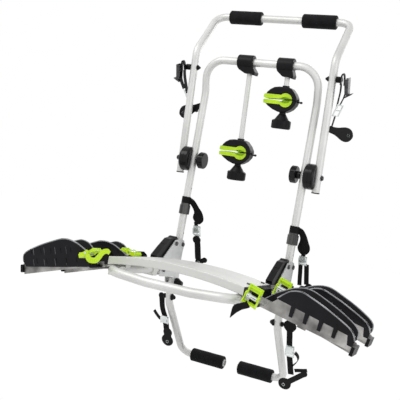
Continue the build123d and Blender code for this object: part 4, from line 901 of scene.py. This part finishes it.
# %% Tables for the upper straps
UPPER_Y = PIVOT[1] - 0.044
UPPER_Z = PIVOT[2] + 0.660
UPPER_BOLT = (-0.2505, 1.114)  # Y and Z of the bolt through the outer leg
UPPER_CONE = [(0, 0), (0, 10), (2, 9.4), (11, 3.4), (12, 2.4), (12, 0)]
UPPER_BOSS = [(0, 0), (0, 11), (18, 11), (20, 9.5), (20, 4), (22, 4), (22, 0)]
FIRST_RUN = [(35, 4), (34, 30), (29, 62), (24, 92)]
SECOND_RUN = [(52, 34), (47, 52), (41, 66), (37.6, 75.2)]
LAST_RUN = {"right": [(21, 119.9), (18, 134), (14, 150), (10, 166)],
            "left": [(-21, 119.9), (-15, 132), (0, 147), (20, 160)]}
TOP_HOOK = [(33, 7), (33.5, -10), (36, -26), (41, -31), (45, -24), (46, -6), (46, 8)]
CHEEK_OUTLINE = [(48, -14), (62, -18), (63, 42), (52, 38)]
HOUSING = [([(60, -18), (63, -18), (64, 44), (61, 44)], (-15, 15)),  # back plate
           (CHEEK_OUTLINE, (-14.9, -12.4)), (CHEEK_OUTLINE, (12.4, 14.9)),
           ([(60, 40), (76, 34), (76.8, 36), (54, 50), (52, 46)], (-13, 13))]  # lever
HOUSING_ROLLER = [(0, 0), (0, 5.4), (24.4, 5.4), (24.4, 0)]
THREE_BAR = (30, 98, 22, 35)  # places across and down, lean and turn in degrees
BLADE = {  # neck, tip and the way it faces
    "right": ((0.277, -0.198, 0.947), (0.327, -0.166, 0.939), (0.524, -0.84, -0.049)),
    "left": ((-0.242, -0.205, 0.975), (-0.306, -0.202, 0.945), (-0.06, -0.995, -0.05))}
BLADE_HALF = [(-10, 11), (0, 12), (12, 12.6), (22, 14), (32, 17), (42, 21.5), (52, 25), (62, 26),
              (70, 24.7), (78, 20.5), (84, 13.5), (87.4, 5), (88, 1)]  # along it, half its width
BLADE_HOLE = 70 * MM
BLADE_LIFT = 2 * MM
BLADE_EYELET = (4.6, 1.1, 2.8)


def blade_and_ring(side):
    """The flat end hook, a band whose half width follows the table, and the ring round its hole."""
    neck, tip, facing = np.array(BLADE[side])
    ahead = unit(tip - neck)
    facing = unit(facing - ahead * (facing @ ahead))
    rows = np.array(BLADE_HALF) * MM
    lift = facing * BLADE_LIFT
    blade = band(neck + rows[:, :1] * ahead + lift, facing, rows[:, 1], 2.3 * MM)
    hole = neck + ahead * BLADE_HOLE + lift
    ring = metal_ring(hole, ahead, np.cross(facing, ahead), facing, BLADE_EYELET, 9)
    return blade, ring


# %% Upper straps
for side, sign in SIDES.items():
    place = np.array([sign * OUTER_X, UPPER_Y, UPPER_Z])
    mirror = np.array([sign, 1])
    webs = [edge_band(place, FIRST_RUN * mirror, 22), edge_band(place, SECOND_RUN * mirror, 24),
            edge_band(place, LAST_RUN[side], 24)]
    blade, ring = blade_and_ring(side)
    housing = [slab(place, outline * mirror, out) for outline, out in HOUSING]
    roller_at = hung(place, sign * 53.8, 4, -12.2)
    housing.append(lathe(roller_at, OUT, lathe_rows(HOUSING_ROLLER), 24))
    bolt = cross_bolt(OUTER_X, sign, *UPPER_BOLT, UPPER_CONE, UPPER_BOSS)
    hook = [edge_band(place, TOP_HOOK * mirror, 16, 4.4), blade]
    # each of these two CAD nodes holds both sides' solids, and is named once
    straps, buckles = (["upper_straps"], ["upper_buckles"]) if side == "right" else ([], [])
    strap_pieces("upper_strap", side, "outer_frame", [
        ("webbing", webs, "strap_black", "webbing", *straps),
        ("hook", hook, "black_plastic", "plastic"), ("eyelet", [ring], "bright_zinc", "steel"),
        ("bolt", bolt, "black_plastic", "plastic"),
        ("housing", housing, "dark_steel", "steel", *buckles),
        ("three_bar", three_bar(place, *THREE_BAR, sign), "bright_zinc", "steel")])

# %% [markdown]
# ## Wheel straps
#
# Each tray has a strap round its inner end. The tray's own frame runs outwards along its floor,
# which falls by 12.5 degrees; the strap's route is a closed shape in the plane across it.

# %% Tray frames
SLOPE = math.radians(12.5)
TRAY_START_X = 0.262
TRAY_START_Z = PIVOT[2] - 0.0967
TRAY_Y = {"near": PIVOT[1] - 0.415, "far": PIVOT[1] - 0.182}
LOOP_AT = 14.0  # how far along the tray the strap is, in mm
LOOP_FRONT = {"near": 66.0, "far": 52.0}


def on_tray(where, side, along, across, up):
    """Tray coordinates in millimetres to the carrier's frame; left trays are turned half round."""
    along, across, up = (np.asarray(v, float) * MM for v in (along, across, up))
    x = TRAY_START_X + along * math.cos(SLOPE) + up * math.sin(SLOPE)
    z = TRAY_START_Z - along * math.sin(SLOPE) + up * math.cos(SLOPE)
    k = 1.0 if side == "right" else -1.0
    return np.stack([k * x, TRAY_Y[where] + k * across, z], axis=-1)


def wheel_loop(where, side):
    """Webbing 25 mm wide along the tray; its route runs under the floor and over the mouth."""
    front = LOOP_FRONT[where]
    left, right = (-front, 44.0) if side == "right" else (-49.0, front)
    route = [(left, 24), (left, 16), (left, 7.6), (left + 2.6, 1.2), (left + 9, -1.4),
             (left + 18, -1.4), (0, -1.4), (right - 18, -1.4), (right - 9, -1.4),
             (right - 2.6, 1.2), (right, 7.6), (right, 18), (right, 29), (right - 0.8, 33.4),
             (right - 3, 36.7), (right - 11, 44), (right - 19.4, 51.6), (right - 22.2, 53.4),
             (right - 25.5, 54), (0, 54), (left + 24.3, 54), (left + 20, 52.9),
             (left + 12, 48.5), (left + 4.7, 44.5), (left + 1.2, 41.2), (left, 36.7), (left, 27)]
    rows = smooth(route, 6)
    line = on_tray(where, side, np.full(len(rows), LOOP_AT), rows[:, 0], rows[:, 1])
    along = on_tray(where, side, LOOP_AT + 1, 0.0, 0.0) - on_tray(where, side, LOOP_AT, 0.0, 0.0)
    ahead = unit(np.gradient(line, axis=0))
    return band(line, np.cross(ahead, unit(along)), 12.4 * MM, 0.95 * MM)


loops = [wheel_loop(where, side) for where, side in TRAYS]
piece("wheel_strap_webbing", loops, "strap_black", "platform", "webbing", "wheel_straps")

# %% The loose tail
NEAR_BUCKLE = np.array([LEG_X + 0.058, TRAY_Y["near"] - 0.0685, TRAY_START_Z + 0.0247])
NEAR_BUCKLE_TILT = math.radians(17.0)
TAIL = [(0, -11.4, -25, 11), (-4, -11.4, -31, 10), (-16, -11.4, -42, 10), (-26, -11.6, -54, 11.5),
        (-28.6, -12.4, -70, 6.5), (-30, -12.6, -87, 0.5)]  # X, Y, Z and half the width


def near_buckle(x, y, z):
    """The near right buckle's own tilted frame, in millimetres, to the carrier's."""
    c, s = math.cos(NEAR_BUCKLE_TILT), math.sin(NEAR_BUCKLE_TILT)
    x, y, z = (np.asarray(v, float) * MM for v in (x, y, z))
    return NEAR_BUCKLE + np.stack([x * c + z * s, y, z * c - x * s], axis=-1)


tail_rows = smooth(TAIL, 8)
tail_half = np.maximum(tail_rows[:, 3], 0.3) * MM
tail = band(near_buckle(*tail_rows[:, :3].T), (0, -1, 0), tail_half, 1.0 * MM)
piece("wheel_strap_tail", [tail], "strap_black", "platform", "webbing")

# %% [markdown]
# ## Wing edges
#
# The plastic wings of a wheel tray end in a thin rolled edge. It is a round bead carried along
# the wing's top outline, and its light grey is a painted highlight. The wing leans outwards, so a
# point's place across the tray is read off the lean at its height.

# %% Edge beads
LOW_WING_EDGE = [(10, 10), (14, 14), (28, 31), (42, 48), (60, 63), (79, 78), (95, 86.5),
                 (110, 92.3), (124, 95.2), (138, 95.6), (160, 92.7), (214, 81.5), (250, 72),
                 (282, 61), (297, 52.5), (304, 44), (307.6, 28)]  # along the tray, height
HIGH_WING_EDGE = [(72, 49), (85, 65.5), (99, 81), (110, 87.7), (122, 92.8), (134, 95.3),
                  (150, 94.3), (200, 85.5), (234, 77), (268, 67.5), (290, 60), (302, 52.5),
                  (309, 44), (315, 33)]
LOW_LEAN = ((0.5, 40, 102), (30.8, 41, 55))  # heights, and places across the tray
HIGH_LEAN = ((14, 47, 102), (35.07, 46.3, 55))
SIDEWAYS = (0.0, 1.0, 0.0)
BEAD_R = 2.3 * MM


def edge_bead(where, side, edge, lean, way):
    """Bead centre = (u, way * lean(w), w) along the smoothed outline, with a round section."""
    u, w = smooth(edge, 5).T
    line = on_tray(where, side, u, way * np.interp(w, *lean), w)
    return band(line, SIDEWAYS, BEAD_R, BEAD_R, 2.0, 12)


# The beads' light grey is painted highlight.
for where, side in TRAYS:
    beads = [edge_bead(where, side, LOW_WING_EDGE, LOW_LEAN, 1.0),
             edge_bead(where, side, HIGH_WING_EDGE, HIGH_LEAN, -1.0)]
    piece(f"wing_edge_{where}_{side}", beads, "wing_edge_painted_highlight", "platform", "plastic")

# %% Ribs on the wings
FINGER_US = (124.0, 168.0, 212.0, 256.0)
FINE_RIBS = ((9, 8, 32), (3, 46, 70))  # shift from a finger, and the heights of both ends
FINGER_HEIGHTS = (15, 54)
FINGER_HALF, FINGER_PROUD = 4.6, 1.3
FINE_HALF, FINE_PROUD = 1.3, 0.9
RIB_HALF_THICK, RIB_POWER = 1.9 * MM, 2.4


def wing_rib(where, side, u, w0, w1, lean, way, half, proud):
    """A low half-round rib up the wing's outer face: centre = (u, way * (lean(w) + proud), w)."""
    w = np.linspace(w0, w1, 8)
    across = way * (np.interp(w, *lean) + proud)
    line = on_tray(where, side, np.full(8, u), across, w)
    width = half * np.array([0.5, 0.85, 1, 1, 1, 1, 0.85, 0.5]) * MM
    return band(line, SIDEWAYS, width, RIB_HALF_THICK, RIB_POWER, 16)


for where, side in TRAYS:
    ribs = [wing_rib(where, side, u, *FINGER_HEIGHTS, HIGH_LEAN, -1.0, FINGER_HALF, FINGER_PROUD)
            for u in FINGER_US]
    piece(f"wing_fingers_{where}_{side}", ribs, "wing_plastic", "platform", "plastic")
    # The fine ribs' grey is painted highlight.
    fine = [wing_rib(where, side, u + shift, w0, w1, LOW_LEAN, 1.0, FINE_HALF, FINE_PROUD)
            for u in FINGER_US for shift, w0, w1 in FINE_RIBS]
    piece(f"wing_ribs_{where}_{side}", fine, "wing_rib_painted_highlight", "platform", "plastic")

# %% [markdown]
# ## Small parts of the claws and the near left buckle
#
# The slit between the bright liners lies in shade. A thin black strip behind it is painted
# shadow that shows that shade as a dark line. Just under the slit's end, a stud with a round
# head sticks out of the lower half. The near left buckle shows its side, a lever cheek with a
# wavy outline.

# %% Painted slit shadows and studs of the claws
CLAW_TILT = math.radians(7.2)
CLAW_AT = {"left": (-0.040, -0.2165, 0.8196), "right": (0.106, -0.2425, 1.0250)}
CLAW_INWARD = np.array([0.0, math.cos(CLAW_TILT), math.sin(CLAW_TILT)])
CLAW_DOWN = np.array([0.0, math.sin(CLAW_TILT), -math.cos(CLAW_TILT)])
SHADOW_STRIP_ENDS = (-8.0, 30.0)
SHADOW_STRIP_TAPER = ((18.0, 30.0), (4.0, 0.8))  # places along the painted shadow strip, and half its height there
SHADOW_STRIP_BEHIND = 8 * MM
STUD = [(0, 0), (0, 2.4), (13, 2.4), (17, 3.6), (21, 4.2), (24, 3.2), (25, 0)]
STUD_AT, STUD_DROP = 44, 3.3  # mm beside and below the claw's middle
for side, centre in CLAW_AT.items():
    # A black strip behind the slit: painted shadow that shows the shaded slit as a dark line.
    x = np.linspace(*SHADOW_STRIP_ENDS, 9)
    line = np.array(centre) + x[:, None] * MM * ACROSS + SHADOW_STRIP_BEHIND * CLAW_INWARD
    shadow_strip = band(line, CLAW_INWARD, np.interp(x, *SHADOW_STRIP_TAPER) * MM, 1.2 * MM, 4.0, 16)
    piece(f"claw_painted_slit_shadow_{side}", [shadow_strip], "black_plastic", f"holder_{side}", "plastic")
    start = np.array(centre) + STUD_AT * MM * ACROSS + STUD_DROP * MM * CLAW_DOWN
    stud = lathe(start, ACROSS, lathe_rows(STUD), 24)
    piece(f"claw_stud_{side}", [stud], "black_plastic", f"jaw_{side}", "plastic")

# %% Near left lever
CHEEK_Y = -0.7485
CHEEK_ROWS = [(-267, 387, 6.5), (-265, 377, 8.5), (-257, 370.5, 9), (-245, 370, 9), (-233, 374, 9),
              (-225, 385, 9), (-218, 397, 8.5), (-209, 405, 8), (-199, 408, 7.5), (-190, 404, 6)]
x, z, half = (smooth(CHEEK_ROWS, 6) * MM).T
cheek = band(np.stack([x, np.full(len(x), CHEEK_Y), z], axis=-1), SIDEWAYS, half, 1.4 * MM, 5.0)
piece("buckle_lever_side_near_left", [cheek], "lime_paint", "buckle_lever_near_left", "lime_paint")
